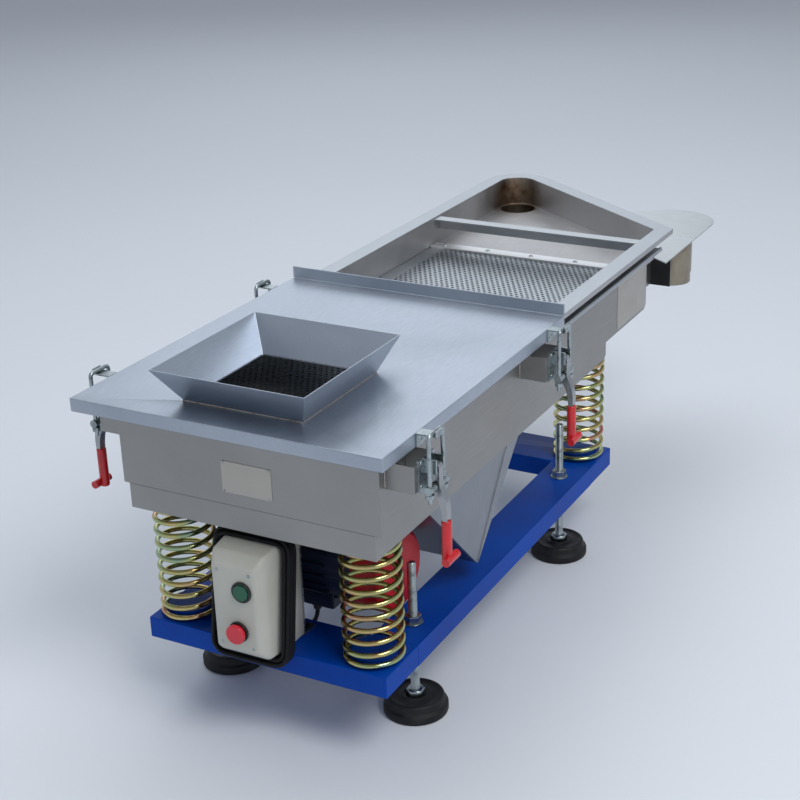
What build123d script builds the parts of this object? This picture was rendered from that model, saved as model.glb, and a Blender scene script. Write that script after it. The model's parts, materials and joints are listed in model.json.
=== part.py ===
from build123d import *
import math
import os

# Driving dimensions in millimetres. X runs with the material from the feed end, Y to the left of it,
# Z up from the floor. Places along X are counted from the front edge of the cover.

# Sheet metal and general clearances
sheet = 2.0
plate = 3.0
seat_gap = 0.3
overrun = 5.0

# Feet
foot_radius = 50.0
foot_rim_height = 14.0
foot_crown_radius = 41.0
foot_height = 28.0
foot_hub_radius = 15.0
foot_hub_height = 9.0
stud_radius = 7.0
stud_top_height = 253.0
stud_running_clearance = 0.05
nut_flats = 22.0
nut_height = 11.0
washer_radius = 15.0
washer_height = 2.5
foot_offset_x = 277.0

# Base of welded rectangular tube
base_front_x = 65.0
base_length = 859.0
base_underside_height = 117.0
base_tube_height = 34.0
rail_width = 76.0
cross_width = 96.0
tube_wall = 3.0

# Springs and their seats
spring_offset_x = 382.0
spring_edge_distance = 45.0
spring_mean_radius = 42.0
spring_wire_radius = 4.0
spring_turns = 9.25
spring_boss_radius = 34.0
spring_boss_height = 14.0

# Bed frame that the springs carry
bed_front_x = 53.0
bed_length = 839.0
bed_inset = 9.0
bed_height = 39.0
bed_underside_height = 341.0
bed_corner_chamfer = 6.0

# Lower tray
tray_side_gap = 3.0
lower_tray_depth = 139.0
lower_tray_length = 1017.0
lower_tray_end_chamfer = 9.0
tray_rail_drop = 20.0
tray_rail_width = 27.0
tray_rail_bead_radius = 4.0
tray_rail_start_x = 596.0
tray_rail_overhang = 6.0

# Upper tray, its rim and its outlet corner
rim_overhang = 30.0
rim_lip = 9.0
upper_tray_width = 420.0
upper_tray_front_gap = 2.0
upper_tray_depth = 56.0
upper_far_x = 1376.0
end_angle = 55.0
outlet_radius = 38.0
outlet_wall = 2.0
outlet_corner_radius = 40.0
upper_outlet_length = 76.0

# Screen
screen_ledge = 24.0
screen_thickness = 2.0
screen_side_gap = 1.0
screen_end_x = 1046.0
screen_hole_radius = 9.0
screen_hole_pitch_x = 48.0
screen_hole_pitch_y = 42.0
screen_border = 34.0
clamp_bar_x = 1008.0
clamp_bar_width = 26.0
clamp_bar_thickness = 4.0
cross_bar_x = 1029.0
cross_bar_width = 24.0
cross_bar_thickness = 3.0
cross_bar_drop = 3.0

# Lower outlet
lower_far_x = 1453.0
lid_corner_radius = 80.0
lower_outlet_x = 1308.0
lower_outlet_inset = 30.0
lower_outlet_length = 21.0
chute_width = 90.0
chute_shift = 8.0
chute_end_radius = 39.5
wing_x = 1205.0

# Cover and feed hopper
cover_length = 590.0
cover_side_gap = 10.0
cover_rise = 6.0
cover_lip = 20.0
cover_flange = 20.0
gasket_width = 18.0
hopper_mouth_front_x = 21.6
hopper_mouth_length = 263.0
hopper_mouth_width = 250.0
hopper_throat_front_x = 58.5
hopper_throat_length = 198.5
hopper_throat_width = 194.0
hopper_rise = 54.0

# Latches
latch_front_x = 98.0
latch_rear_x = 530.0
bracket_standoff = 45.0
bracket_width = 60.0
bracket_drop = 73.0
bracket_rise = 40.0
latch_plate_width = 46.0
latch_plate_rise = 46.0
latch_ear_gap = 18.0
latch_ear_reach = 20.0
latch_pivot_drop = 41.0
latch_pivot_reach = 14.0
latch_pin_radius = 4.0
latch_pin_clearance = 0.05
draw_arm = 26.0
bolt_rod_radius = 3.0
bolt_half_gap = 20.0
bolt_bar_rise = 3.6
bolt_tail = 20.0
handle_width = 16.0
handle_depth = 14.0
handle_length = 76.0
handle_lean = 13.0
grip_length = 62.0
grip_radius = 10.0
grip_bar_radius = 6.0
grip_bar_half_length = 17.0
keeper_width = 30.0
keeper_thickness = 2.5
keeper_curl = 9.0

# Motor and its mount
mount_tip_x = 366.0
mount_depth = 156.0
mount_half_length = 154.0
mount_inset = 4.0
mount_fold_offset = 42.0
motor_drop = 112.0
motor_radius = 58.0
motor_cover_radius = 66.0
motor_half_length = 146.0
motor_body_half_length = 92.0
motor_shell = 6.0
motor_flange = 8.0
motor_foot_gap = 10.7
motor_foot_width = 112.0
motor_foot_length = 26.0
motor_foot_offset_y = 62.0
motor_shaft_radius = 11.0
motor_rotor_radius = 38.0
motor_rotor_half_length = 55.0
motor_bearing_radius = 24.0
motor_bearing_width = 15.0
weight_radius = 46.0
weight_thickness = 22.0
weight_gap = 8.0
cover_shell = 3.0
motor_cover_dish = 10.0
rib_count = 12
rib_height = 5.0
rib_thickness = 4.0
terminal_box_length = 62.0
terminal_box_width = 84.0

# Switch box
switch_front_x = 16.0
switch_y = 8.0
switch_width = 94.0
switch_height = 172.0
switch_depth = 102.0
switch_back_depth = 46.0
switch_shell = 3.0
switch_corner = 6.0
switch_taper = 7.0
switch_chamfer = 16.0
switch_stand_off = 0.3
button_radius = 12.0
stop_button_radius = 15.0
bezel_radius = 16.0
bezel_height = 4.0
start_button_proud = 2.0
stop_button_proud = 9.0
button_travel = 3.0
button_depth = 16.0
button_clearance = 0.6
start_button_height = 62.0
stop_button_height = -4.0
start_button_y = -14.0
stop_button_y = -4.0
bracket_foot_depth = 30.0

# Cables
cord_radius = 3.4
coil_strands = 4
coil_strand_gap = 0.1
coil_layers = 2
coil_corner_radius = 13.0
coil_slack = 6.0
coil_lean = 26.0
gland_radius = 8.0
gland_nut_radius = 8.5
gland_nut_length = 7.0
plug_body_width = 30.0
plug_body_depth = 20.0
plug_body_length = 34.0
plug_neck_length = 14.0
plug_pin_length = 12.0
plug_pin_radius = 2.0
plug_pin_gap = 10.0

# Places worked out from the sizes
base_top_height = base_underside_height + base_tube_height
base_rear_x = base_front_x + base_length
base_mid_x = base_front_x + base_length / 2
bed_rear_x = bed_front_x + bed_length
bed_top_height = bed_underside_height + bed_height
lower_tray_width = upper_tray_width + 2 * tray_side_gap
bed_width = lower_tray_width - 2 * bed_inset
base_width = bed_width
mount_width = bed_width - 2 * mount_inset
mount_tip_height = bed_underside_height - mount_depth
motor_axis_height = bed_underside_height - motor_drop
rim_height = bed_top_height + lower_tray_depth
cover_height = rim_height + cover_rise
cover_width = upper_tray_width + 2 * (rim_overhang + cover_side_gap)
bracket_low_height = rim_height - bracket_drop
latch_pivot_height = rim_height - latch_pivot_drop
bolt_bar_height = cover_height + bolt_bar_rise
lower_tray_end_x = bed_front_x + lower_tray_length
tray_floor_height = rim_height - upper_tray_depth
upper_tray_front_x = bed_front_x + sheet + upper_tray_front_gap
lower_outlet_y = lower_outlet_inset - upper_tray_width / 2
chute_right_y = lower_outlet_y + chute_shift
foot_offset_y = (base_width - rail_width) / 2
spring_offset_y = base_width / 2 - spring_edge_distance
mid_x = lower_far_x / 2
foot_places = {
    "front_left": (base_mid_x - foot_offset_x, foot_offset_y),
    "front_right": (base_mid_x - foot_offset_x, -foot_offset_y),
    "rear_left": (base_mid_x + foot_offset_x, foot_offset_y),
    "rear_right": (base_mid_x + foot_offset_x, -foot_offset_y),
}
spring_places = {
    "front_left": (base_mid_x - spring_offset_x, spring_offset_y),
    "front_right": (base_mid_x - spring_offset_x, -spring_offset_y),
    "rear_left": (base_mid_x + spring_offset_x, spring_offset_y),
    "rear_right": (base_mid_x + spring_offset_x, -spring_offset_y),
}
latch_places = {
    "front_left": (latch_front_x, 1),
    "front_right": (latch_front_x, -1),
    "rear_left": (latch_rear_x, 1),
    "rear_right": (latch_rear_x, -1),
}

# Routes of the cords, as chosen points
arc_share = 0.45
supply_tail_points = [
    (136.0, 21.0, 300.0),
    (154.0, 21.0, 300.0),
    (166.7, 33.7, 300.0),
    (166.7, 51.7, 300.0),
    (154.0, 64.4, 300.0),
    (122.0, 64.8, 301.5),
    (81.8, 64.4, 300.0),
    (78.0, 64.4, 255.0),
]
plug_cord_points = [
    (79.0, 71.2, 300.0),
    (80.0, 71.2, 278.0),
    (90.0, 71.0, 256.0),
    (107.0, 70.5, 245.0),
    (119.0, 70.0, 231.0),
    (119.0, 70.0, 214.0),
]
motor_cable_points = [
    (136.0, 4.0, 191.3),
    (158.0, 4.0, 191.3),
    (170.0, 27.0, 178.0),
    (171.0, 30.0, 129.6),
    (180.7, 18.9, 114.8),
    (194.3, 3.1, 114.8),
    (204.0, -8.0, 129.6),
    (204.0, -8.0, 154.0),
]


def block(x_low, x_high, y_low, y_high, z_low, z_high):
    """A box between two corners."""
    middle = Pos((x_low + x_high) / 2, (y_low + y_high) / 2, (z_low + z_high) / 2)
    return middle * Box(x_high - x_low, y_high - y_low, z_high - z_low)


def rod_z(x, y, z_low, z_high, radius):
    return Pos(x, y, (z_low + z_high) / 2) * Cylinder(radius, z_high - z_low)


def rod_y(x, z, y_low, y_high, radius):
    return Pos(x, (y_low + y_high) / 2, z) * Rotation(90, 0, 0) * Cylinder(radius, y_high - y_low)


def rod_x(y, z, x_low, x_high, radius):
    return Pos((x_low + x_high) / 2, y, z) * Rotation(0, 90, 0) * Cylinder(radius, x_high - x_low)


def prism_y(points, y_low, y_high):
    """A profile of (x, z) points, carried along Y."""
    outline = Polyline(*[(x, y_low, z) for x, z in points], close=True)
    return extrude(make_face(outline), amount=y_high - y_low, dir=(0, 1, 0))


def prism_x(points, x_low, x_high):
    """A profile of (y, z) points, carried along X."""
    outline = Polyline(*[(x_low, y, z) for y, z in points], close=True)
    return extrude(make_face(outline), amount=x_high - x_low, dir=(1, 0, 0))


def group(solids):
    return Compound(children=[piece for solid in solids for piece in solid.solids()])


def tube_beam(x_low, x_high, y_low, y_high, hollow_along):
    """A length of the base's rectangular tube, closed at both ends by welded caps."""
    outer = block(x_low, x_high, y_low, y_high, base_underside_height, base_top_height)
    inset_x = tube_wall
    inset_y = tube_wall
    if hollow_along == "x":
        inset_x = -overrun
    hollow = block(
        x_low + inset_x,
        x_high - inset_x,
        y_low + inset_y,
        y_high - inset_y,
        base_underside_height + tube_wall,
        base_top_height - tube_wall,
    )
    return outer - hollow


def foot_holes():
    radius = stud_radius + stud_running_clearance
    return [rod_z(x, y, 0, stud_top_height, radius) for x, y in foot_places.values()]


def base_rail(side):
    """One long rail between the cross members, drilled for the levelling studs."""
    inner = base_width / 2 - rail_width
    y_low, y_high = sorted((side * inner, side * base_width / 2))
    rail = tube_beam(base_front_x + cross_width, base_rear_x - cross_width, y_low, y_high, "x")
    for hole in foot_holes():
        rail -= hole
    return rail


def base_cross(rear):
    """A cross member with the two spring bosses that are welded on it."""
    half = base_width / 2
    x_low = base_rear_x - cross_width if rear else base_front_x
    beam = tube_beam(x_low, x_low + cross_width, -half, half, "y")
    for boss in spring_bosses(base_top_height, 1, rear):
        beam += boss
    return beam


def foot(x, y):
    """A rubber foot and the threaded stud that is bonded into its steel hub."""
    pad_profile = Polyline(
        (0, 0),
        (foot_radius, 0),
        (foot_radius, foot_rim_height),
        (foot_crown_radius, foot_height),
        (foot_hub_radius, foot_height),
        (foot_hub_radius, foot_height - foot_hub_height),
        (0, foot_height - foot_hub_height),
        close=True,
    )
    pad = Pos(x, y, 0) * revolve(make_face(Plane.XZ * pad_profile), Axis.Z)
    hub = rod_z(x, y, foot_height - foot_hub_height, foot_height + foot_hub_height, foot_hub_radius)
    stud = hub + rod_z(x, y, foot_height, stud_top_height, stud_radius)
    return group([pad, stud])


def hex_nut(x, y, z_low):
    section = RegularPolygon(nut_flats / math.sqrt(3), 6)
    nut = extrude(Pos(x, y, z_low) * section, amount=nut_height)
    return nut - rod_z(x, y, 0, stud_top_height, stud_radius + stud_running_clearance)


def washer(x, y, z_low):
    ring = rod_z(x, y, z_low, z_low + washer_height, washer_radius)
    return ring - rod_z(x, y, 0, stud_top_height, stud_radius + stud_running_clearance)


def foot_fasteners():
    """Lock nuts with washers on both sides of each rail."""
    solids = []
    for x, y in foot_places.values():
        solids.append(washer(x, y, base_top_height))
        solids.append(hex_nut(x, y, base_top_height + washer_height))
        solids.append(washer(x, y, base_underside_height - washer_height))
        solids.append(hex_nut(x, y, base_underside_height - washer_height - nut_height))
    return group(solids)


def spring_bosses(z_plate, upwards, rear):
    """Welded bosses that centre the springs, at the front or the rear of the machine."""
    low, high = sorted((z_plate, z_plate + upwards * spring_boss_height))
    names = ("rear_left", "rear_right") if rear else ("front_left", "front_right")
    bosses = [rod_z(*spring_places[name], low, high, spring_boss_radius) for name in names]
    half = bed_width / 2
    bed_plan = block(bed_front_x, bed_rear_x - bed_corner_chamfer, -half, half, low, high)
    return [boss & bed_plan for boss in bosses]


def coil_spring(x, y):
    """An open helical compression spring, standing between its two seats."""
    z_low = base_top_height + spring_wire_radius
    z_high = bed_underside_height - spring_wire_radius
    height = z_high - z_low
    line = Pos(x, y, z_low) * Helix(height / spring_turns, height, spring_mean_radius)
    section = Plane(origin=line @ 0, z_dir=line % 0) * RegularPolygon(spring_wire_radius, 6)
    return sweep(section, path=line, is_frenet=True)


def bed_frame():
    """The folded pan that joins the springs, the trays and the motor mount."""
    half = bed_width / 2
    profile = [
        (bed_front_x, bed_top_height),
        (bed_front_x, bed_underside_height),
        (bed_rear_x - bed_corner_chamfer, bed_underside_height),
        (bed_rear_x, bed_underside_height + bed_corner_chamfer),
        (bed_rear_x, bed_top_height),
    ]
    pan = prism_y(profile, -half, half)
    hollow = block(
        bed_front_x + plate,
        bed_rear_x - plate,
        -half + plate,
        half - plate,
        bed_underside_height + plate,
        bed_top_height + overrun,
    )
    pan -= hollow
    for rear in (False, True):
        for boss in spring_bosses(bed_underside_height, -1, rear):
            pan += boss
    return pan


def tray_outline(side, half_width, far_x, corner_radius, near_x, offset):
    """Plan of a tray whose end wall runs aslant to an outlet corner on one side, as a face.

    side is 1 for an outlet corner on the left and -1 for one on the right. offset grows the plan evenly.
    """
    angle = math.radians(end_angle)
    half = half_width + offset
    radius = corner_radius + offset
    centre_x = far_x - corner_radius
    centre_y = side * (half_width - corner_radius)
    normal = Vector(math.sin(angle), -side * math.cos(angle))
    along = Vector(-math.cos(angle), -side * math.sin(angle))
    centre = Vector(centre_x, centre_y)
    tangent = centre + normal * radius
    middle = centre + (normal + Vector(0, side)).normalized() * radius
    run = (side * tangent.Y + half) / math.sin(angle)
    end = tangent + along * run
    start = Vector(centre_x, side * half)
    near_left = Vector(near_x - offset, side * half)
    near_right = Vector(near_x - offset, -side * half)
    edges = [
        Line(near_right, near_left),
        Line(near_left, start),
        ThreePointArc(start, middle, tangent),
        Line(tangent, end),
        Line(end, near_right),
    ]
    return make_face(Wire(edges))


def upper_plan(offset, z_low, z_high):
    half = upper_tray_width / 2
    face = tray_outline(1, half, upper_far_x, outlet_corner_radius, upper_tray_front_x, offset)
    return extrude(Pos(0, 0, z_low) * face, amount=z_high - z_low, dir=(0, 0, 1))


def lid_plan(offset, z_low, z_high):
    half = upper_tray_width / 2 + rim_overhang
    face = tray_outline(-1, half, lower_far_x, lid_corner_radius, upper_tray_front_x, offset)
    return extrude(Pos(0, 0, z_low) * face, amount=z_high - z_low, dir=(0, 0, 1))


def upper_outlet_centre():
    return upper_far_x - outlet_corner_radius, upper_tray_width / 2 - outlet_corner_radius


def upper_tray():
    """The screen tray: walls, rolled rim, ledges for the screen and the plain floor towards its outlet."""
    floor_low = tray_floor_height - sheet
    walls = upper_plan(0, floor_low, rim_height) - upper_plan(-sheet, tray_floor_height, rim_height + overrun)
    rim = upper_plan(rim_overhang, rim_height - sheet, rim_height)
    rim -= upper_plan(-sheet, rim_height - sheet - overrun, rim_height + overrun)
    lip = upper_plan(rim_overhang, rim_height - rim_lip, rim_height)
    lip -= upper_plan(rim_overhang - sheet, rim_height - rim_lip - overrun, rim_height + overrun)
    half = upper_tray_width / 2 - screen_ledge
    window = block(
        upper_tray_front_x + screen_ledge,
        screen_end_x - screen_ledge,
        -half,
        half,
        floor_low - overrun,
        tray_floor_height + overrun,
    )
    x, y = upper_outlet_centre()
    bore = rod_z(x, y, floor_low - overrun, tray_floor_height + sheet, outlet_radius - outlet_wall)
    return walls + rim + lip - window - bore


def upper_outlet_pipe():
    x, y = upper_outlet_centre()
    top = tray_floor_height - sheet
    low = top - upper_outlet_length
    pipe = rod_z(x, y, low, top, outlet_radius)
    return pipe - rod_z(x, y, low - overrun, top + overrun, outlet_radius - outlet_wall)


def screen_plate():
    """The perforated plate, staggered, with a plain border that lies on the ledges."""
    half = upper_tray_width / 2 - sheet - screen_side_gap
    front = upper_tray_front_x + sheet + screen_side_gap
    panel = block(front, screen_end_x, -half, half, tray_floor_height, tray_floor_height + screen_thickness)
    columns = int((screen_end_x - front - 2 * screen_border) / screen_hole_pitch_x)
    rows = int((2 * half - 2 * screen_border) / screen_hole_pitch_y)
    places = []
    for column in range(columns + 1):
        shift = screen_hole_pitch_y / 2 * (column % 2)
        for row in range(rows + 1 - column % 2):
            x = front + screen_border + column * screen_hole_pitch_x
            y = -rows * screen_hole_pitch_y / 2 + row * screen_hole_pitch_y + shift
            places.append(Location((x, y, tray_floor_height - overrun)))
    hole = RegularPolygon(screen_hole_radius, 6)
    cutters = [extrude(place * hole, amount=screen_thickness + 2 * overrun) for place in places]
    return panel - cutters


def clamp_bar():
    half = upper_tray_width / 2 - sheet - screen_side_gap
    low = tray_floor_height + screen_thickness
    return block(clamp_bar_x, clamp_bar_x + clamp_bar_width, -half, half, low, low + clamp_bar_thickness)


def cross_bar():
    """An angle across the tray that keeps its walls apart, just below the rim."""
    half = upper_tray_width / 2 - sheet
    top = rim_height - cross_bar_drop
    flat = block(cross_bar_x, cross_bar_x + cross_bar_width, -half, half, top - cross_bar_thickness, top)
    leg_low = top - cross_bar_width
    leg_front = cross_bar_x + cross_bar_width - cross_bar_thickness
    leg = block(leg_front, cross_bar_x + cross_bar_width, -half, half, leg_low, top)
    return flat + leg


def chute_block(inset, drop):
    """The channel under the end of the upper tray, from the lower tray to its outlet pipe."""
    left_y = chute_right_y + chute_width
    return block(
        lower_tray_end_x - sheet - inset,
        lower_outlet_x - inset,
        chute_right_y + inset,
        left_y - inset,
        bed_top_height + inset,
        tray_floor_height - sheet + drop,
    )


def lower_tray():
    """The fines tray: an open box whose end wall opens into a chute with a round end."""
    half = lower_tray_width / 2
    top = rim_height - sheet
    chamfer = lower_tray_end_chamfer
    profile = [
        (bed_front_x, top),
        (bed_front_x, bed_top_height),
        (lower_tray_end_x - chamfer, bed_top_height),
        (lower_tray_end_x, bed_top_height + chamfer),
        (lower_tray_end_x, top),
    ]
    box = prism_y(profile, -half, half)
    hollow = block(
        bed_front_x + sheet,
        lower_tray_end_x - sheet,
        -half + sheet,
        half - sheet,
        bed_top_height + sheet,
        top + overrun,
    )
    wide = half + overrun
    beyond = block(lower_tray_end_x - sheet, upper_far_x, -wide, wide, tray_floor_height - sheet, top)
    x, y = lower_outlet_x, lower_outlet_y
    lid_low = tray_floor_height - sheet
    chute = chute_block(0, 0) + rod_z(x, y, bed_top_height, lid_low, chute_end_radius)
    chute += block(wing_x, wing_x + sheet, -half, chute_right_y, bed_top_height, lid_low)
    chute -= chute_block(sheet, overrun)
    chute -= rod_z(x, y, bed_top_height + sheet, lid_low + overrun, chute_end_radius - sheet)
    chute -= rod_z(x, y, bed_top_height - overrun, lid_low, outlet_radius - outlet_wall)
    return (box - hollow - beyond - chute_block(sheet, 0)) + chute


def lower_outlet_pipe():
    low = bed_top_height - lower_outlet_length
    pipe = rod_z(lower_outlet_x, lower_outlet_y, low, bed_top_height, outlet_radius)
    bore_radius = outlet_radius - outlet_wall
    return pipe - rod_z(lower_outlet_x, lower_outlet_y, low - overrun, bed_top_height + overrun, bore_radius)


def end_wall_place():
    """Where the slanted end wall's outer face meets the rim's right edge; local X runs along the wall."""
    angle = math.radians(end_angle)
    centre_x, centre_y = upper_outlet_centre()
    tangent_x = centre_x + math.sin(angle) * outlet_corner_radius
    tangent_y = centre_y - math.cos(angle) * outlet_corner_radius
    run = (tangent_y + upper_tray_width / 2 + rim_overhang) / math.sin(angle)
    corner = Pos(tangent_x - math.cos(angle) * run, tangent_y - math.sin(angle) * run, 0)
    return corner * Rotation(0, 0, end_angle)


def lower_outlet_lid():
    """The flat plate that closes the lower tray beyond the slanted wall."""
    top = tray_floor_height
    lid = lid_plan(0, top - sheet, top)
    reach = lower_far_x
    beyond = end_wall_place() * block(0, reach, -reach, -seat_gap, top - sheet - overrun, top + overrun)
    return lid & beyond


def tray_rails():
    """Beaded ledges along the outside of the lower tray, past the end of the cover."""
    solids = []
    wall = lower_tray_width / 2
    top = rim_height - tray_rail_drop
    for side in (1, -1):
        end_x = lower_tray_end_x + tray_rail_overhang
        edge = wall + tray_rail_width - tray_rail_bead_radius
        low_y, high_y = sorted((side * wall, side * edge))
        ledge = block(tray_rail_start_x, lower_tray_end_x, low_y, high_y, top - sheet, top)
        centre_z = top - tray_rail_bead_radius
        bead = rod_x(side * edge, centre_z, tray_rail_start_x, end_x, tray_rail_bead_radius)
        tip = Pos(end_x, side * edge, centre_z) * Sphere(tray_rail_bead_radius)
        solids.append(ledge + bead + tip)
    return group(solids)


def cover():
    """The lift-off cover: down-turned on three sides, with an upright flange at the rear."""
    half = cover_width / 2
    top = cover_height
    shell = block(0, cover_length, -half, half, top - cover_lip, top)
    low = top - cover_lip - overrun
    shell -= block(sheet, cover_length + overrun, -half + sheet, half - sheet, low, top - sheet)
    shell += block(cover_length - sheet, cover_length, -half, half, top - sheet, top + cover_flange)
    throat_half = hopper_throat_width / 2
    rear = hopper_throat_front_x + hopper_throat_length
    mouth = block(
        hopper_throat_front_x + sheet,
        rear - sheet,
        -throat_half + sheet,
        throat_half - sheet,
        top - overrun,
        top + overrun,
    )
    return shell - mouth


def hopper_frustum(inset, extra):
    """The flared body of the hopper, shrunk evenly by an inset."""
    rise_share = extra / hopper_rise
    throat_mid = hopper_throat_front_x + hopper_throat_length / 2
    mouth_mid = hopper_mouth_front_x + hopper_mouth_length / 2
    length_gain = (hopper_mouth_length - hopper_throat_length) * rise_share
    width_gain = (hopper_mouth_width - hopper_throat_width) * rise_share
    mid_gain = (mouth_mid - throat_mid) * rise_share
    low = Pos(throat_mid - mid_gain, 0, cover_height - extra) * Rectangle(
        hopper_throat_length - length_gain - 2 * inset, hopper_throat_width - width_gain - 2 * inset
    )
    high = Pos(mouth_mid + mid_gain, 0, cover_height + hopper_rise + extra) * Rectangle(
        hopper_mouth_length + length_gain - 2 * inset, hopper_mouth_width + width_gain - 2 * inset
    )
    return loft([low, high])


def feed_hopper():
    return hopper_frustum(0, 0) - hopper_frustum(sheet, overrun)


def cover_gasket():
    """A rubber strip on the rim under three sides of the cover."""
    low = rim_height
    high = cover_height - sheet
    inner = upper_tray_width / 2
    outer = inner + gasket_width
    front = upper_tray_front_x - gasket_width
    ring = block(front, cover_length - sheet, -outer, outer, low, high)
    return ring - block(upper_tray_front_x, cover_length, -inner, inner, low - overrun, high + overrun)


def bracket_face_y():
    return lower_tray_width / 2 + bracket_standoff


def latch_plate_face_y():
    return bracket_face_y() + plate


def latch_pivot_y():
    return latch_plate_face_y() + latch_pivot_reach


def latch_brackets():
    """Folded sheet stand-offs that carry the latches clear of the cover's lip."""
    solids = []
    wall = lower_tray_width / 2
    face = bracket_face_y()
    for x, side in latch_places.values():
        half = bracket_width / 2
        low, high = sorted((side * wall, side * face))
        body = block(x - half, x + half, low, high, bracket_low_height, bracket_low_height + bracket_rise)
        low, high = sorted((side * (wall - overrun), side * (face - sheet)))
        hollow = block(
            x - half + sheet,
            x + half - sheet,
            low,
            high,
            bracket_low_height - overrun,
            bracket_low_height + bracket_rise + overrun,
        )
        solids.append(body - hollow)
    return group(solids)


def latch_plate(x, side):
    """Base plate of a latch with its two ears and the pin that the handle turns on."""
    low, high = sorted((side * bracket_face_y(), side * latch_plate_face_y()))
    half = latch_plate_width / 2
    top = bracket_low_height + latch_plate_rise
    foot_plate = block(x - half, x + half, low, high, bracket_low_height, top)
    ear_inner = latch_ear_gap / 2
    ear_outer = ear_inner + plate
    reach = side * (latch_plate_face_y() + latch_ear_reach)
    low, high = sorted((side * bracket_face_y(), reach))
    ear_low = latch_pivot_height - latch_pin_radius - sheet
    for direction in (1, -1):
        ear_x = sorted((x + direction * ear_inner, x + direction * ear_outer))
        foot_plate += block(ear_x[0], ear_x[1], low, high, ear_low, top)
    pin = rod_x(side * latch_pivot_y(), latch_pivot_height, x - ear_outer, x + ear_outer, latch_pin_radius)
    return foot_plate + pin


def latch_plates():
    return group([latch_plate(x, side) for x, side in latch_places.values()])


def keepers():
    """Hooked keepers on the cover's lip, over which the draw bolts reach."""
    solids = []
    lip = cover_width / 2
    bar_y = latch_pivot_y()
    top = bolt_bar_height - bolt_rod_radius - seat_gap
    for x, side in latch_places.values():
        outer = bar_y + bolt_rod_radius + seat_gap + keeper_thickness
        profile = [
            (side * lip, top),
            (side * (outer - keeper_thickness), top),
            (side * (outer - keeper_thickness), top + keeper_curl - keeper_thickness),
            (side * outer, top + keeper_curl - keeper_thickness),
            (side * outer, top - keeper_thickness),
            (side * (lip + keeper_thickness), top - keeper_thickness),
            (side * (lip + keeper_thickness), cover_height - cover_lip),
            (side * lip, cover_height - cover_lip),
        ]
        solids.append(prism_x(profile, x - keeper_width / 2, x + keeper_width / 2))
    return group(solids)


def handle(x, side):
    """A latch handle: the steel arm and the moulded grip on its end."""
    pivot_y = side * latch_pivot_y()
    half = handle_width / 2
    bore = latch_pin_radius + latch_pin_clearance
    round_radius = handle_depth / 2
    draw_height = latch_pivot_height - draw_arm
    arm_end = latch_pivot_height - handle_length
    arm = rod_x(pivot_y, latch_pivot_height, x - half, x + half, round_radius)
    inner, outer = pivot_y - round_radius, pivot_y + round_radius
    arm += block(x - half, x + half, inner, outer, draw_height, latch_pivot_height)
    profile = [
        (pivot_y - round_radius, draw_height),
        (pivot_y + round_radius, draw_height),
        (pivot_y + round_radius / 2 + side * handle_lean, arm_end),
        (pivot_y - round_radius / 2 + side * handle_lean, arm_end),
    ]
    arm += prism_x(profile, x - half, x + half)
    for z in (latch_pivot_height, draw_height):
        arm -= rod_x(pivot_y, z, x - half - overrun, x + half + overrun, bore)
    grip_y = pivot_y + side * handle_lean
    grip = rod_z(x, grip_y, arm_end - grip_length, arm_end, grip_radius)
    grip = fillet(grip.edges().filter_by(GeomType.CIRCLE), grip_radius / 4)
    bar_low = x - grip_bar_half_length
    bar_z = arm_end - grip_length + grip_bar_radius
    grip += rod_x(grip_y + side * grip_bar_radius, bar_z, bar_low, x + grip_bar_half_length, grip_bar_radius)
    return group([arm, grip])


def draw_bolt(x, side):
    """A bent draw bolt with the trunnion that turns in the handle, and its adjusting nuts."""
    y = side * latch_pivot_y()
    draw_height = latch_pivot_height - draw_arm
    low = draw_height - bolt_tail
    left, right = x - bolt_half_gap, x + bolt_half_gap
    corners = [(left, y, low), (left, y, bolt_bar_height), (right, y, bolt_bar_height), (right, y, low)]
    path = FilletPolyline(*corners, radius=2 * bolt_rod_radius)
    bolt = sweep(Plane(origin=path @ 0, z_dir=path % 0) * Circle(bolt_rod_radius), path=path)
    nut_top = draw_height - 2 * bolt_rod_radius - seat_gap
    for direction in (1, -1):
        leg_x = x + direction * bolt_half_gap
        bolt += rod_z(leg_x, y, nut_top - 2 * bolt_rod_radius, nut_top, 2 * bolt_rod_radius)
        inner = x + direction * (handle_width / 2 + seat_gap)
        outer = leg_x + direction * 2 * bolt_rod_radius
        lug_low, lug_high = sorted((inner, outer))
        bolt += rod_x(y, draw_height, lug_low, lug_high, 2 * bolt_rod_radius)
    return bolt + rod_x(y, draw_height, left, right, latch_pin_radius)


def mount_front_x():
    return mount_tip_x - mount_half_length


def motor_mount_front():
    """The inclined plate that carries the motor."""
    half = mount_width / 2 - plate
    drop = bed_underside_height - mount_tip_height
    run = math.hypot(mount_half_length, drop)
    shift = plate * run / mount_half_length
    profile = [
        (mount_front_x(), bed_underside_height),
        (mount_tip_x, mount_tip_height),
        (mount_tip_x, mount_tip_height + shift),
        (mount_front_x() + shift * mount_half_length / drop, bed_underside_height),
    ]
    return prism_y(profile, -half, half)


def motor_mount_sides():
    """Triangular side plates of the motor mount, each with its folded rear edge."""
    solids = []
    rear_x = mount_tip_x + mount_half_length
    outer = mount_width / 2
    for side in (1, -1):
        low, high = sorted((side * (outer - plate), side * outer))
        profile = [
            (mount_front_x(), bed_underside_height),
            (mount_tip_x, mount_tip_height),
            (rear_x, bed_underside_height),
        ]
        side_plate = prism_y(profile, low, high)
        low, high = sorted((side * (outer - plate), side * (outer + sheet)))
        profile[0] = (rear_x - mount_fold_offset, bed_underside_height)
        solids.append(side_plate + prism_y(profile, low, high))
    return group(solids)


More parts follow.
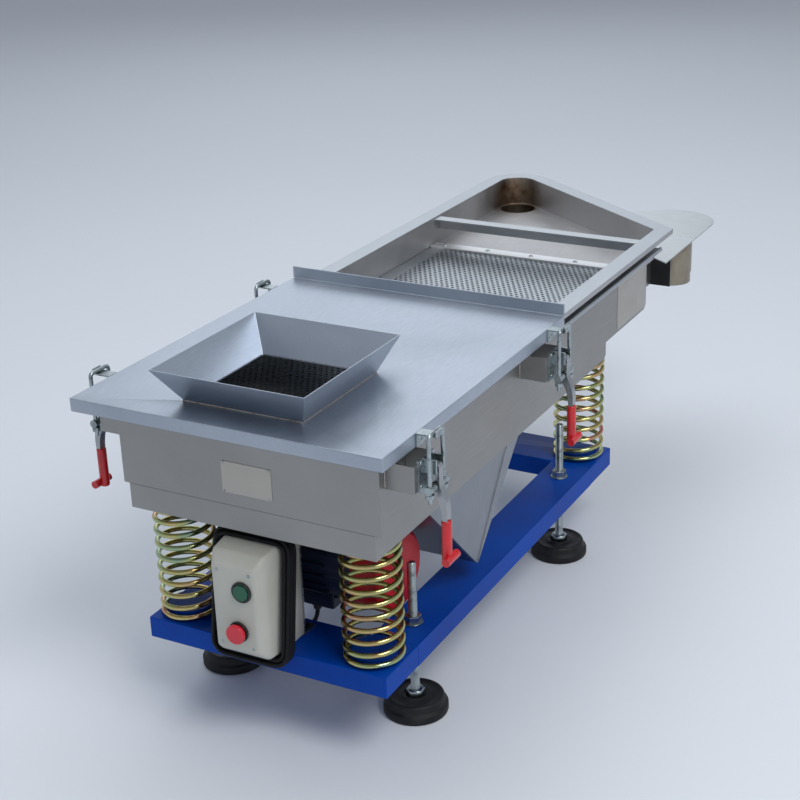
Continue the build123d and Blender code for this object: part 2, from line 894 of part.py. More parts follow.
def motor_centre():
    """The motor axis lies in front of the inclined plate, at its own height above the floor."""
    drop = bed_underside_height - mount_tip_height
    run = math.hypot(mount_half_length, drop)
    distance = motor_radius + motor_foot_gap
    on_plate_x = mount_front_x() + (bed_underside_height - motor_axis_height) * mount_half_length / drop
    return on_plate_x - distance * run / drop, motor_axis_height


def motor_tilt():
    """Turns a direction straight away from the plate, as degrees about Y."""
    drop = bed_underside_height - mount_tip_height
    return math.degrees(math.atan2(mount_half_length, drop))


def motor_local(shape):
    """Places a shape modelled about the motor axis, with local +X pointing at the mounting plate."""
    x, z = motor_centre()
    return Pos(x, 0, z) * Rotation(0, -motor_tilt(), 0) * shape


def motor_body():
    """Cast housing with cooling ribs and two feet, bored for the bearings and the rotor."""
    half = motor_body_half_length
    body = rod_y(0, 0, -half, half, motor_radius)
    reach = motor_radius + motor_foot_gap
    for side in (1, -1):
        y = side * motor_foot_offset_y
        foot_low = y - motor_foot_length / 2
        foot_high = y + motor_foot_length / 2
        wide = motor_foot_width / 2
        body += block(motor_radius / 2, reach, foot_low, foot_high, -wide, wide)
        low, high = sorted((side * half, side * (half - motor_flange)))
        body += rod_y(0, 0, low, high, motor_cover_radius)
    for index in range(rib_count):
        angle = 90 + index * 180 / (rib_count - 1)
        rib = block(0, motor_radius + rib_height, -half / 2, half / 2, -rib_thickness / 2, rib_thickness / 2)
        body += Rotation(0, angle, 0) * rib
    hollow = rod_y(0, 0, -half + motor_bearing_width, half - motor_bearing_width, motor_radius - motor_shell)
    bore = rod_y(0, 0, -half - overrun, half + overrun, motor_bearing_radius)
    return motor_local(body - hollow - bore)


def motor_bearings():
    solids = []
    half = motor_body_half_length
    for side in (1, -1):
        low, high = sorted((side * half, side * (half - motor_bearing_width)))
        ring = rod_y(0, 0, low, high, motor_bearing_radius)
        ring -= rod_y(0, 0, low - overrun, high + overrun, motor_shaft_radius + stud_running_clearance)
        solids.append(motor_local(ring))
    return group(solids)


def motor_shaft():
    """Shaft with the rotor core."""
    end = motor_body_half_length + 2 * weight_gap + weight_thickness
    shaft = rod_y(0, 0, -end, end, motor_shaft_radius)
    shaft += rod_y(0, 0, -motor_rotor_half_length, motor_rotor_half_length, motor_rotor_radius)
    return motor_local(shaft)


def eccentric_weights():
    """Half-disc weights clamped on both ends of the shaft, hanging down at rest."""
    solids = []
    x, z = motor_centre()
    for side in (1, -1):
        start = side * (motor_body_half_length + weight_gap)
        low, high = sorted((start, start + side * weight_thickness))
        disc = rod_y(x, z, low, high, weight_radius)
        left, right = x - weight_radius, x + weight_radius
        upper_half = block(left, right, low, high, z + motor_shaft_radius, z + weight_radius)
        hub = rod_y(x, z, low, high, motor_shaft_radius + plate)
        weight = disc - upper_half + hub
        solids.append(weight - rod_y(x, z, low - overrun, high + overrun, motor_shaft_radius))
    return group(solids)


def motor_end_cover(side):
    """A deep-drawn end cover with a dished face."""
    start = motor_body_half_length
    depth = motor_half_length - start
    radius = motor_cover_radius
    profile = Polyline(
        (0, start),
        (radius, start),
        (radius, start + depth - motor_cover_dish),
        (radius - motor_cover_dish, start + depth),
        (0, start + depth),
        close=True,
    )
    solid = revolve(make_face(profile), Axis.Y)
    inner = rod_y(0, 0, start - overrun, start + depth - cover_shell, radius - cover_shell - motor_cover_dish)
    inner += rod_y(0, 0, start - overrun, start + depth - motor_cover_dish, radius - cover_shell)
    shell = solid - inner
    if side < 0:
        shell = mirror(shell, Plane.XZ)
    return motor_local(shell)


def terminal_box():
    """Terminal box under the motor, on the side away from the mounting plate."""
    x, z = motor_centre()
    half_x = terminal_box_length / 2
    half_y = terminal_box_width / 2
    top = z - motor_radius / 2
    low = motor_cable_points[-1][2]
    box = block(x - half_x, x + half_x, -half_y, half_y, low, top)
    box = fillet(box.edges().filter_by(Axis.Z), plate)
    return box - rod_y(x, z, -half_y - overrun, half_y + overrun, motor_radius + rib_height + seat_gap)


def switch_bounds():
    low_y = switch_y - switch_width / 2
    high_y = switch_y + switch_width / 2
    low_z = base_top_height + switch_stand_off
    return low_y, high_y, low_z, low_z + switch_height


def switch_box_back():
    low_y, high_y, low_z, high_z = switch_bounds()
    rear = switch_front_x + switch_depth
    front = rear - switch_back_depth
    shell = block(front, rear, low_y, high_y, low_z, high_z)
    shell = fillet(shell.edges().filter_by(Axis.X), switch_corner)
    inside = block(
        front - overrun,
        rear - switch_shell,
        low_y + switch_shell,
        high_y - switch_shell,
        low_z + switch_shell,
        high_z - switch_shell,
    )
    shell -= inside
    for x, y, z in (motor_cable_points[0], supply_tail_points[0]):
        shell -= rod_x(y, z, rear - overrun, rear + overrun, cord_radius + sheet)
    return shell


def button_places():
    middle = base_top_height + switch_stand_off + switch_height / 2
    start = (switch_y + start_button_y, middle + start_button_height / 2)
    stop = (switch_y + stop_button_y, middle + stop_button_height - start_button_height / 2)
    return start, stop


def switch_box_cover():
    """Front half of the box: tapering sides and a face with broad chamfers, top and bottom."""
    low_y, high_y, low_z, high_z = switch_bounds()
    rear = switch_front_x + switch_depth - switch_back_depth
    front = switch_front_x
    width = high_y - low_y
    height = high_z - low_z
    middle = Pos(rear, (low_y + high_y) / 2, (low_z + high_z) / 2) * Rotation(0, -90, 0)
    waist_depth = rear - front - switch_chamfer
    waist = Pos(0, 0, waist_depth) * RectangleRounded(
        height - switch_taper, width - switch_taper, switch_corner
    )
    face = Pos(0, 0, rear - front) * RectangleRounded(
        height - switch_taper - 2 * switch_chamfer, width - switch_taper - switch_chamfer, switch_corner
    )
    outer = loft([RectangleRounded(height, width, switch_corner), waist]) + loft([waist, face])
    inset = 2 * switch_shell
    inner_height = height - switch_taper - inset
    inner_waist = Pos(0, 0, waist_depth) * Rectangle(inner_height, width - switch_taper - inset)
    inner_face = Pos(0, 0, rear - front - switch_shell) * Rectangle(
        inner_height - 2 * switch_chamfer, width - switch_taper - switch_chamfer - inset
    )
    inner = loft([Rectangle(height - inset, width - inset), inner_waist]) + loft([inner_waist, inner_face])
    shell = middle * (outer - inner)
    for (y, z), radius in zip(button_places(), (button_radius, stop_button_radius)):
        shell -= rod_x(y, z, front - overrun, rear, button_radius + button_clearance)
    return shell


def bezels():
    """Black rings round the two buttons."""
    solids = []
    for y, z in button_places():
        ring = rod_x(y, z, switch_front_x - bezel_height, switch_front_x, bezel_radius)
        solids.append(ring - rod_x(y, z, 0, switch_front_x + overrun, button_radius + button_clearance))
    return group(solids)


def start_button():
    y, z = button_places()[0]
    face = switch_front_x - bezel_height - start_button_proud
    return rod_x(y, z, face, face + button_depth, button_radius)


def stop_button():
    """The stop button has a wider head in front of its ring."""
    y, z = button_places()[1]
    face = switch_front_x - bezel_height - stop_button_proud
    head_back = switch_front_x - bezel_height - button_travel - seat_gap
    stem = rod_x(y, z, head_back, face + button_depth, button_radius)
    head = rod_x(y, z, face, head_back, stop_button_radius)
    head = fillet(head.edges().filter_by(GeomType.CIRCLE).sort_by(Axis.X)[0], sheet)
    return head + stem


def switch_bracket():
    """Upright plate with a foot on the front cross member; the box is screwed to it."""
    low_y, high_y, low_z, high_z = switch_bounds()
    back = switch_front_x + switch_depth
    upright = block(back, back + plate, low_y, high_y, base_top_height, high_z)
    foot_rear = back + bracket_foot_depth
    foot_plate = block(back, foot_rear, low_y, high_y, base_top_height, base_top_height + plate)
    bracket = upright + foot_plate
    for x, y, z in (motor_cable_points[0], supply_tail_points[0]):
        bracket -= rod_x(y, z, back - overrun, back + plate + overrun, gland_nut_radius + seat_gap)
    return bracket


def cord_glands():
    """Glands behind the box, one for the supply cord and one for the motor cable."""
    solids = []
    back = switch_front_x + switch_depth
    for x, y, z in (motor_cable_points[0], supply_tail_points[0]):
        nut = rod_x(y, z, back, back + gland_nut_length, gland_nut_radius)
        solids.append(nut + rod_x(y, z, back, x, gland_radius))
    return group(solids)


def supply_cord_coil():
    """The wound cord as one closed ring of its outer shape, hung round the box and leaning back."""
    low_y, high_y, low_z, high_z = switch_bounds()
    build_up = coil_layers * 2 * cord_radius
    width = high_y - low_y + 2 * coil_slack
    height = high_z - low_z + 2 * seat_gap
    inner = RectangleRounded(height, width, coil_corner_radius)
    outer = RectangleRounded(height + 2 * build_up, width + 2 * build_up, coil_corner_radius + build_up)
    low = low_z - seat_gap - build_up
    high = high_z + seat_gap + build_up
    # Its lowest turns pass just in front of the base.
    lean_at_base = coil_lean * (base_top_height - low) / (high - low)
    rear = base_front_x - seat_gap - lean_at_base
    front = rear - coil_strands * (2 * cord_radius + coil_strand_gap)
    centre = Pos(rear + coil_lean, (low_y + high_y) / 2, (low_z + high_z) / 2) * Rotation(0, -90, 0)
    ring = centre * extrude(outer - inner, amount=rear - front + coil_lean)
    profile = [(front, low), (rear, low), (rear + coil_lean, high), (front + coil_lean, high)]
    return ring & prism_y(profile, low_y - 2 * build_up, high_y + 2 * build_up)


def cord_tube(points):
    """A cord along straight runs joined by arcs, each as large as its two runs allow."""
    vectors = [Vector(*point) for point in points]
    radii = []
    for before, corner, after in zip(vectors, vectors[1:], vectors[2:]):
        turn = math.radians((corner - before).get_angle(after - corner))
        shorter = min((corner - before).length, (after - corner).length)
        radii.append(arc_share * shorter / math.tan(turn / 2))
    path = FilletPolyline(*vectors, radius=radii)
    section = Plane(origin=path @ 0, z_dir=path % 0) * Circle(cord_radius)
    tube = sweep(section, path=path)
    print("cord radii", [round(radius, 1) for radius in radii], "length", round(path.length, 1))
    expected = path.length * math.pi * cord_radius**2
    print("cord volume", round(tube.volume), "section times length", round(expected))
    return tube


def plug():
    """A moulded plug with two pins, hanging from the end of the supply cord."""
    x, y, z = plug_cord_points[-1]
    neck = Pos(x, y, z) * loft([
        Circle(cord_radius + sheet),
        Pos(0, 0, -plug_neck_length) * Rectangle(plug_body_depth, plug_body_width),
    ])
    body_top = z - plug_neck_length
    half_x = plug_body_depth / 2
    half_y = plug_body_width / 2
    body = block(x - half_x, x + half_x, y - half_y, y + half_y, body_top - plug_body_length, body_top)
    body = fillet(body.edges().filter_by(Axis.Z), plug_body_depth / 4)
    solid = body + neck
    for side in (1, -1):
        low = body_top - plug_body_length - plug_pin_length
        solid += rod_z(x, y + side * plug_pin_gap, low, body_top - plug_body_length, plug_pin_radius)
    return solid


nodes = {
    "base_rail_left": base_rail(1),
    "base_rail_right": base_rail(-1),
    "base_cross_front": base_cross(False),
    "base_cross_rear": base_cross(True),
    "foot_nuts": foot_fasteners(),
    "bed_frame": bed_frame(),
    "lower_tray": lower_tray(),
    "tray_rails": tray_rails(),
    "lower_outlet_pipe": lower_outlet_pipe(),
    "lower_outlet_lid": lower_outlet_lid(),
    "upper_tray": upper_tray(),
    "upper_outlet_pipe": upper_outlet_pipe(),
    "screen_plate": screen_plate(),
    "screen_clamp_bar": clamp_bar(),
    "tray_cross_bar": cross_bar(),
    "cover_gasket": cover_gasket(),
    "cover": cover(),
    "feed_hopper": feed_hopper(),
    "latch_brackets": latch_brackets(),
    "latch_plates": latch_plates(),
    "latch_keepers": keepers(),
    "motor_mount_plate": motor_mount_front(),
    "motor_mount_sides": motor_mount_sides(),
    "motor_body": motor_body(),
    "motor_bearings": motor_bearings(),
    "motor_shaft": motor_shaft(),
    "eccentric_weights": eccentric_weights(),
    "motor_end_cover_left": motor_end_cover(1),
    "motor_end_cover_right": motor_end_cover(-1),
    "motor_terminal_box": terminal_box(),
    "switch_bracket": switch_bracket(),
    "switch_box_back": switch_box_back(),
    "switch_box_cover": switch_box_cover(),
    "button_bezels": bezels(),
    "start_button": start_button(),
    "stop_button": stop_button(),
    "cord_glands": cord_glands(),
    "supply_cord_coil": supply_cord_coil(),
    "supply_cord_tail": cord_tube(supply_tail_points),
    "supply_cord_end": cord_tube(plug_cord_points),
    "supply_plug": plug(),
    "motor_cable": cord_tube(motor_cable_points),
}
for corner, (x, y) in foot_places.items():
    nodes["foot_" + corner] = foot(x, y)
for corner, (x, y) in spring_places.items():
    nodes["spring_" + corner] = coil_spring(x, y)
for corner, (x, side) in latch_places.items():
    nodes["latch_handle_" + corner] = handle(x, side)
    nodes["draw_bolt_" + corner] = draw_bolt(x, side)

os.makedirs("parts", exist_ok=True)
for name, shape in nodes.items():
    export_step(Pos(-mid_x, 0, 0) * shape, "parts/" + name + ".step")
print("nodes", len(nodes), "frame origin at x", mid_x)
print("motor axis", motor_centre(), "upper outlet", upper_outlet_centre())
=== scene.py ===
import bmesh
import bpy
import json
import math
from mathutils import Matrix, Vector


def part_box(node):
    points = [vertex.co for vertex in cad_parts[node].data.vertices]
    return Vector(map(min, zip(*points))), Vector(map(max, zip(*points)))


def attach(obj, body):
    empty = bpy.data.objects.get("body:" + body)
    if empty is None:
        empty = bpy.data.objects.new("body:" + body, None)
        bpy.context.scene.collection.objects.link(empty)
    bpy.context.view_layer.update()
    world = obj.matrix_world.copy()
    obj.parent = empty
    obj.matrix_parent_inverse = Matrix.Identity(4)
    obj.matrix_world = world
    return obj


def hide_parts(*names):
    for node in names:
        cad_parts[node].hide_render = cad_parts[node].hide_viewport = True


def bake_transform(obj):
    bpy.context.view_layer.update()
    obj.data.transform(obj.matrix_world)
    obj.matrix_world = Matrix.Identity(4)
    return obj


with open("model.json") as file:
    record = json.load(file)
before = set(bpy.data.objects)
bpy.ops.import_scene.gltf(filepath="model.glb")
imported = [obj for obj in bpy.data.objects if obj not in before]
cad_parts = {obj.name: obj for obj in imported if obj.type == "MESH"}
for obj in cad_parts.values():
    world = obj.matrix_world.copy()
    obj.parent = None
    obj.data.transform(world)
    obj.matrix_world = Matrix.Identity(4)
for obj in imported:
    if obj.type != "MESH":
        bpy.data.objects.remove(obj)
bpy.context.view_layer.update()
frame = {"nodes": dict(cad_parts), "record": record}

# Sizes are in metres. Places given to at() are in millimetres from the cover's front edge, the middle
# line and the floor. X runs with the material, Y to its left and Z up.
MM = 0.001
FRONT = -726.5 * MM

# Trays
RIM_Z = 519 * MM
RIM_DEPTH = 1.5 * MM
CHUTE_X = 1262.0
# Where the wing plate begins, whose faces get painted shade
WING_X = 1204.0
WING_Y = -172 * MM
OUTLET_WELD = (1348.0, 182.0, 485.0)
WELD_TINT_RADIUS = 30 * MM
WELD_TINT_SOFT = 35 * MM
HOPPER_FOOT_X = (58.5, 257.0)
HOPPER_FOOT_Y = (-97.0, 97.0)
HOPPER_FOOT_Z = 525.3
HOPPER_WELD_RADIUS = 1.5 * MM

# Bare plates on the trays' walls
FRONT_PLATE_X = 53.0
FRONT_PLATE_Y = (39.0, -43.0)
FRONT_PLATE_Z = (447.5, 399.5)
SIDE_PLATE_X = (921.0, 1066.0)
SIDE_PLATE_Y = -213.0
SIDE_PLATE_Z = (478.0, 385.0)
PLATE_THICKNESS = 0.7 * MM
PLATE_EDGE = 0.25 * MM
PLATE_RIVET_SHARE = 0.09

# Screen
HOLE_RADIUS = 3.0 * MM
HOLE_PITCH = 10.5 * MM
HOLE_SIDES = 12
SCREEN_EDGE = 26 * MM
BORDER_DROP = 0.02 * MM
BORDER_SHARE_X = 0.45
BORDER_SHARE_Y = 0.05
CLAMP_SCREW_X = 1021.0
CLAMP_SCREW_Y = (-180, -90, 0, 90, 180)
CLAMP_TOP_Z = 469.0

# Springs
SPRING_RADIUS = 42 * MM
SPRING_WIRE_RADIUS = 3.9 * MM
SPRING_PITCH = 20.2 * MM
SPRING_CLOSED_TURNS = 0.75
SPRING_CLOSED_SHARE = 1.02
SPRING_STEPS_PER_TURN = 40
SPRING_START_ANGLE = 0.6
SPRING_SMOOTHINGS = 3
BASE_TOP_Z = 151 * MM
BED_UNDERSIDE_Z = 341 * MM
SPRING_PLACES = {
    "front_left": (112.5, 159.0),
    "front_right": (112.5, -159.0),
    "rear_left": (876.5, 159.0),
    "rear_right": (876.5, -159.0),
}

# Feet, whose profiles are radius and height in millimetres
FOOT_PLACES = {
    "front_left": (217.5, 166.0),
    "front_right": (217.5, -166.0),
    "rear_left": (771.5, 166.0),
    "rear_right": (771.5, -166.0),
}
PAD_PROFILE = [
    (0.001, 0), (47, 0), (49.4, 1.2), (50, 3), (50, 11.5), (49.2, 13.4), (47.6, 14.2), (45.6, 15.4),
    (44.8, 17.4), (44.2, 24.2), (43.0, 26.8), (41.0, 28), (38.5, 28), (37.2, 26.9), (24, 26.6),
    (22.4, 28), (15.6, 28), (15.0, 27.2), (15.0, 24), (0.001, 24),
]
HUB_PROFILE = [(0.001, 24), (14.6, 24), (14.6, 35.4), (13.4, 37), (7.2, 37), (0.001, 37)]
HUB_TOP_Z = 37 * MM
STUD_RADIUS = 7 * MM
STUD_TOP_Z = 253 * MM
STUD_TIP = 1.2 * MM
THREAD_PITCH = 2.0 * MM
THREAD_DEPTH = 0.9 * MM

# Latches
LATCH_X = {"front": 98.0, "rear": 530.0}
LATCH_FACE_Y = 261.0
LATCH_SCREW_REACH = 16.5
LATCH_SCREW_Z = (453.0, 487.0)
KEEPER_FACE_Y = 252.5
KEEPER_RIVET_REACH = 4.8
KEEPER_RIVET_Z = 512.5
KEEPER_SLIM = 0.6
BRACKET_REACH = 30.5
BRACKET_SEAM_Y = 213.4
BRACKET_SEAM_Z = (448.0, 484.0)
BRACKET_WELD_RADIUS = 1.6 * MM
GRIP_TOP_Z = 402.5 * MM
GRIP_TOP_EDGE = 2 * MM
GRIP_RIM = 0.2 * MM
GRIP_REACH = 10.4 * MM
GRIP_SLIM = 0.72
ARM_SLIM = 0.75
ARM_BOSS = 33 * MM
ARM_BEND = 4.5 * MM
ARM_CUTS = 10

# Heads of screws and rivets, as radius and height
PAN_HEAD = (3.2 * MM, 1.9 * MM)
KEEPER_RIVET = (2.2 * MM, 1.4 * MM)
PLATE_RIVET = (1.9 * MM, 0.9 * MM)
CLAMP_SCREW = (4.2 * MM, 2.2 * MM)

# Switch box
SWITCH_CORNER = 6 * MM
SWITCH_TAPER = 3.5 * MM
SWITCH_TAPER_SHARE = 0.93
SWITCH_CHAMFER = 16 * MM
SWITCH_BACK_INSET = 1.6 * MM
SWITCH_SCREW_INSET_Y = 17 * MM
SWITCH_SCREW_INSET_Z = 24 * MM
SWITCH_SCREW_PROFILE = [(0.01, 1.0), (2.6, 1.0), (2.6, -0.2), (2.1, -0.5), (0.01, -0.5)]

# Cords
CORD_RADIUS = 3.4 * MM
SUPPLY_TAIL = [
    (136.0, 21.0, 300.0),
    (154.0, 21.0, 300.0),
    (166.7, 33.7, 300.0),
    (166.7, 51.7, 300.0),
    (154.0, 64.4, 300.0),
    (122.0, 64.8, 301.5),
    (81.8, 64.4, 300.0),
    (78.0, 64.4, 255.0),
]
PLUG_CORD = [
    (79.0, 71.2, 300.0),
    (80.0, 71.2, 278.0),
    (90.0, 71.0, 256.0),
    (107.0, 70.5, 245.0),
    (119.0, 70.0, 231.0),
    (119.0, 70.0, 214.0),
]
MOTOR_CABLE = [
    (136.0, 4.0, 191.3),
    (158.0, 4.0, 191.3),
    (170.0, 27.0, 178.0),
    (171.0, 30.0, 129.6),
    (180.7, 18.9, 114.8),
    (194.3, 3.1, 114.8),
    (204.0, -8.0, 129.6),
    (204.0, -8.0, 150.5),
]
TERMINAL_BOX_LOW_Z = 154.0
GLAND_NUT_PROFILE = [(7.6, -4.5), (8.2, -4), (8.2, -0.1)]
GLAND_BODY_PROFILE = [(4.6, -10), (5.9, -9.6), (6.6, -8.2), (6.6, -4)]
COIL_TURNS = 3
COIL_MIDDLE_Y = 8.0
COIL_MIDDLE_Z = 237.3
COIL_HALF_Y = 56.4
COIL_HALF_Z = 89.7
COIL_CORNER = 16.4
COIL_FRONT_X = 38.8
COIL_REAR_X = 59.5
COIL_LOW_Z = 137.4
COIL_LEAN = 26.0 / 199.8
COIL_POINTS_PER_TURN = 20

# Camera at the photo's angle: its place, its own axes, its lens and its shift
CAMERA_PLACE = Vector((-2.27565, -1.14603, 1.34598))
CAMERA_RIGHT = Vector((0.44717401, -0.89423415, -0.01951121))
CAMERA_DOWN = Vector((-0.34812394, -0.15390758, -0.92472817))
CAMERA_FORWARD = Vector((0.82392058, 0.42030672, -0.38012779))
CAMERA_LENS = 70.13
CAMERA_SENSOR = 36
CAMERA_SHIFT = (-0.0695, -0.0070)
CAMERA_FAR = 100

# Floor and surround
FLOOR_REACH = 30
SKY_TONES = ((0.28, (0.84, 0.91, 1.0)), (0.62, (0.34, 0.36, 0.40)))
SKY_STRENGTH = 0.68


def at(x, y, z):
    """A place given in millimetres from the cover's front edge, in the part's frame."""
    return Vector((FRONT + x * MM, y * MM, z * MM))


def rectangle(first, second):
    """A rectangle's four corners, in turn, from its limits along two directions."""
    return [(first[0], second[0]), (first[1], second[0]), (first[1], second[1]), (first[0], second[1])]


# Materials


class Look:
    """A principled material whose detail comes from noise in the part's own coordinates."""

    def __init__(self, name, base, metallic=0.0, roughness=0.5):
        self.name = name
        self.material = bpy.data.materials.new(name)
        self.material.use_nodes = True
        self.tree = self.material.node_tree
        self.shader = self.tree.nodes["Principled BSDF"]
        self.shader.inputs["Base Color"].default_value = (*base, 1)
        self.shader.inputs["Metallic"].default_value = metallic
        self.shader.inputs["Roughness"].default_value = roughness
        self.place = self.tree.nodes.new("ShaderNodeTexCoord").outputs["Object"]
        self.height = None

    def link(self, output, target):
        self.tree.links.new(output, target)

    def noise(self, scale, detail=3.0, stretch=(1, 1, 1), distortion=0.0):
        mapping = self.tree.nodes.new("ShaderNodeMapping")
        mapping.inputs["Scale"].default_value = stretch
        self.link(self.place, mapping.inputs["Vector"])
        noise = self.tree.nodes.new("ShaderNodeTexNoise")
        noise.inputs["Scale"].default_value = scale
        noise.inputs["Detail"].default_value = detail
        noise.inputs["Distortion"].default_value = distortion
        self.link(mapping.outputs["Vector"], noise.inputs["Vector"])
        return noise.outputs["Fac"]

    def ramp(self, value, stops):
        ramp = self.tree.nodes.new("ShaderNodeValToRGB")
        elements = ramp.color_ramp.elements
        while len(elements) < len(stops):
            elements.new(0.5)
        for element, (position, colour) in zip(elements, stops):
            element.position = position
            element.color = (*colour, 1)
        self.link(value, ramp.inputs["Fac"])
        return ramp.outputs["Color"]

    def spread(self, value, low, high, start=0.3, stop=0.7):
        """Maps a noise value from start..stop to low..high."""
        node = self.tree.nodes.new("ShaderNodeMapRange")
        node.inputs["From Min"].default_value = start
        node.inputs["From Max"].default_value = stop
        node.inputs["To Min"].default_value = low
        node.inputs["To Max"].default_value = high
        self.link(value, node.inputs["Value"])
        return node.outputs["Result"]

    def mix(self, share, first, second):
        node = self.tree.nodes.new("ShaderNodeMix")
        node.data_type = "RGBA"
        self.link(share, node.inputs["Factor"])
        for source, slot in ((first, node.inputs["A"]), (second, node.inputs["B"])):
            if isinstance(source, tuple):
                slot.default_value = (*source, 1)
            else:
                self.link(source, slot)
        return node.outputs["Result"]

    def near(self, centre, radius, soft):
        """1 close to a place in the part, falling to 0 beyond it."""
        node = self.tree.nodes.new("ShaderNodeVectorMath")
        node.operation = "DISTANCE"
        self.link(self.place, node.inputs[0])
        node.inputs[1].default_value = centre
        return self.spread(node.outputs["Value"], 1, 0, radius, radius + soft)

    def colour(self, output):
        self.link(output, self.shader.inputs["Base Color"])
        return self

    def roughness(self, output):
        self.link(output, self.shader.inputs["Roughness"])
        return self

    def bump(self, value, distance, strength=1.0):
        node = self.tree.nodes.new("ShaderNodeBump")
        node.inputs["Distance"].default_value = distance
        node.inputs["Strength"].default_value = strength
        self.link(value, node.inputs["Height"])
        if self.height is not None:
            self.link(self.height, node.inputs["Normal"])
        self.height = node.outputs["Normal"]
        self.link(self.height, self.shader.inputs["Normal"])
        return self

    def value(self, name, number):
        self.shader.inputs[name].default_value = number
        return self


def steel_look(name, dark, light, brush, roughness=(0.3, 0.42), cloud=6.0, bump=0.00004):
    """Stainless sheet with fine brushing along one axis and broad, faint clouds."""
    look = Look(name, light, metallic=1.0)
    clouds = look.noise(cloud, detail=4, distortion=0.6)
    streaks = look.noise(1.0, detail=2, stretch=brush)
    grain = look.noise(900, detail=2)
    tone = look.ramp(clouds, [(0.3, dark), (0.7, light)])
    fine = look.spread(streaks, 0.0, 0.35)
    look.colour(look.mix(fine, tone, tuple(0.72 * c for c in dark)))
    look.roughness(look.spread(clouds, *roughness))
    look.bump(streaks, bump)
    look.bump(grain, bump / 2)
    return look


# Fine brushing: the stretch of a noise along each axis
BRUSH_X = (30, 1500, 1500)
BRUSH_Y = (1500, 30, 1500)
BRUSH_Z = (1500, 1500, 30)
BRUSH_COVER = (60, 900, 900)
BRUSH_PIPE = (900, 900, 40)
BRUSH_PLATE = (1500, 40, 1500)


def cover_steel():
    """The cover and the hopper, whose steel colour holds a painted bluish reflection of the sky."""
    dark, light = (0.40, 0.445, 0.51), (0.53, 0.58, 0.655)
    return steel_look("cover_steel", dark, light, BRUSH_COVER, (0.34, 0.46), 4.0, 0.00002)


def side_steel():
    """The walls of the lower tray and the bed, warmer and duller than the cover."""
    dark, light = (0.33, 0.325, 0.315), (0.42, 0.415, 0.40)
    return steel_look("side_steel", dark, light, BRUSH_X, (0.42, 0.54), 5.0)


def rim_steel():
    dark, light = (0.42, 0.45, 0.48), (0.52, 0.55, 0.58)
    return steel_look("rim_steel", dark, light, BRUSH_X, (0.32, 0.44), 9.0)


def mount_steel():
    dark, light = (0.25, 0.27, 0.30), (0.35, 0.37, 0.41)
    return steel_look("mount_steel", dark, light, BRUSH_Z, (0.30, 0.42))


def wing_painted_shade():
    """The plate before the chute, coloured near black as painted shade for the shadow under the rim."""
    dark, light = (0.06, 0.06, 0.06), (0.11, 0.11, 0.11)
    return steel_look("wing_painted_shade", dark, light, BRUSH_Z, (0.30, 0.42))


def bar_steel():
    dark, light = (0.44, 0.46, 0.48), (0.56, 0.58, 0.60)
    return steel_look("bar_steel", dark, light, BRUSH_Y, (0.30, 0.40))


def clamp_steel():
    dark, light = (0.78, 0.78, 0.78), (0.90, 0.90, 0.90)
    return steel_look("clamp_steel", dark, light, BRUSH_Y, (0.32, 0.42))


def lid_steel():
    dark, light = (0.46, 0.48, 0.49), (0.62, 0.64, 0.65)
    return steel_look("lid_steel", dark, light, BRUSH_Y, (0.26, 0.40), 16.0)


def pipe_steel():
    """The outlets, browned all over by the heat of their welds."""
    dark, light = (0.22, 0.18, 0.13), (0.44, 0.39, 0.31)
    return steel_look("pipe_steel", dark, light, BRUSH_PIPE, (0.26, 0.38), 12.0)


def tray_steel():
    """The upper tray, whose sheet is browned round the outlet's weld."""
    dark, light = (0.46, 0.455, 0.46), (0.60, 0.595, 0.60)
    look = steel_look("tray_steel", dark, light, BRUSH_X, (0.42, 0.55), 8.0)
    sheet = look.shader.inputs["Base Color"].links[0].from_socket
    tints = [(0.3, (0.10, 0.055, 0.03)), (0.6, (0.26, 0.19, 0.13)), (0.8, (0.22, 0.21, 0.24))]
    brown = look.ramp(look.noise(60, detail=4), tints)
    near_weld = look.near(at(*OUTLET_WELD), WELD_TINT_RADIUS, WELD_TINT_SOFT)
    return look.colour(look.mix(near_weld, sheet, brown))


def blue_paint():
    look = Look("blue_paint", (0.0, 0.048, 0.33), roughness=0.48).value("Specular IOR Level", 0.12)
    shade = look.noise(7, detail=3)
    look.colour(look.ramp(shade, [(0.35, (0.0, 0.040, 0.29)), (0.65, (0.001, 0.058, 0.38))]))
    look.bump(look.noise(260, detail=2), 0.00012)
    return look.roughness(look.spread(shade, 0.36, 0.48))


def motor_blue():
    look = Look("motor_blue", (0.003, 0.009, 0.035), roughness=0.5)
    return look.bump(look.noise(300, detail=3), 0.0002)


def motor_red():
    look = Look("motor_red", (0.45, 0.004, 0.008), roughness=0.36).value("Specular IOR Level", 0.35)
    look.bump(look.noise(220, detail=2), 0.00012)
    shades = [(0.3, (0.38, 0.003, 0.006)), (0.7, (0.52, 0.005, 0.010))]
    return look.colour(look.ramp(look.noise(14, detail=3), shades))


def zinc():
    """Bright zinc plate with a faint mottle."""
    look = Look("zinc", (0.55, 0.60, 0.60), metallic=1.0, roughness=0.3)
    mottle = look.noise(70, detail=5, distortion=0.4)
    tones = [(0.3, (0.24, 0.28, 0.29)), (0.55, (0.42, 0.47, 0.48)), (0.8, (0.32, 0.37, 0.40))]
    look.colour(look.ramp(mottle, tones))
    look.roughness(look.spread(mottle, 0.22, 0.40))
    return look.bump(look.noise(700, detail=2), 0.00003)


def satin_steel():
    look = Look("satin_steel", (0.38, 0.39, 0.40), metallic=1.0, roughness=0.28)
    look.bump(look.noise(1.0, detail=2, stretch=BRUSH_Z), 0.00005)
    return look.roughness(look.spread(look.noise(40), 0.22, 0.34))


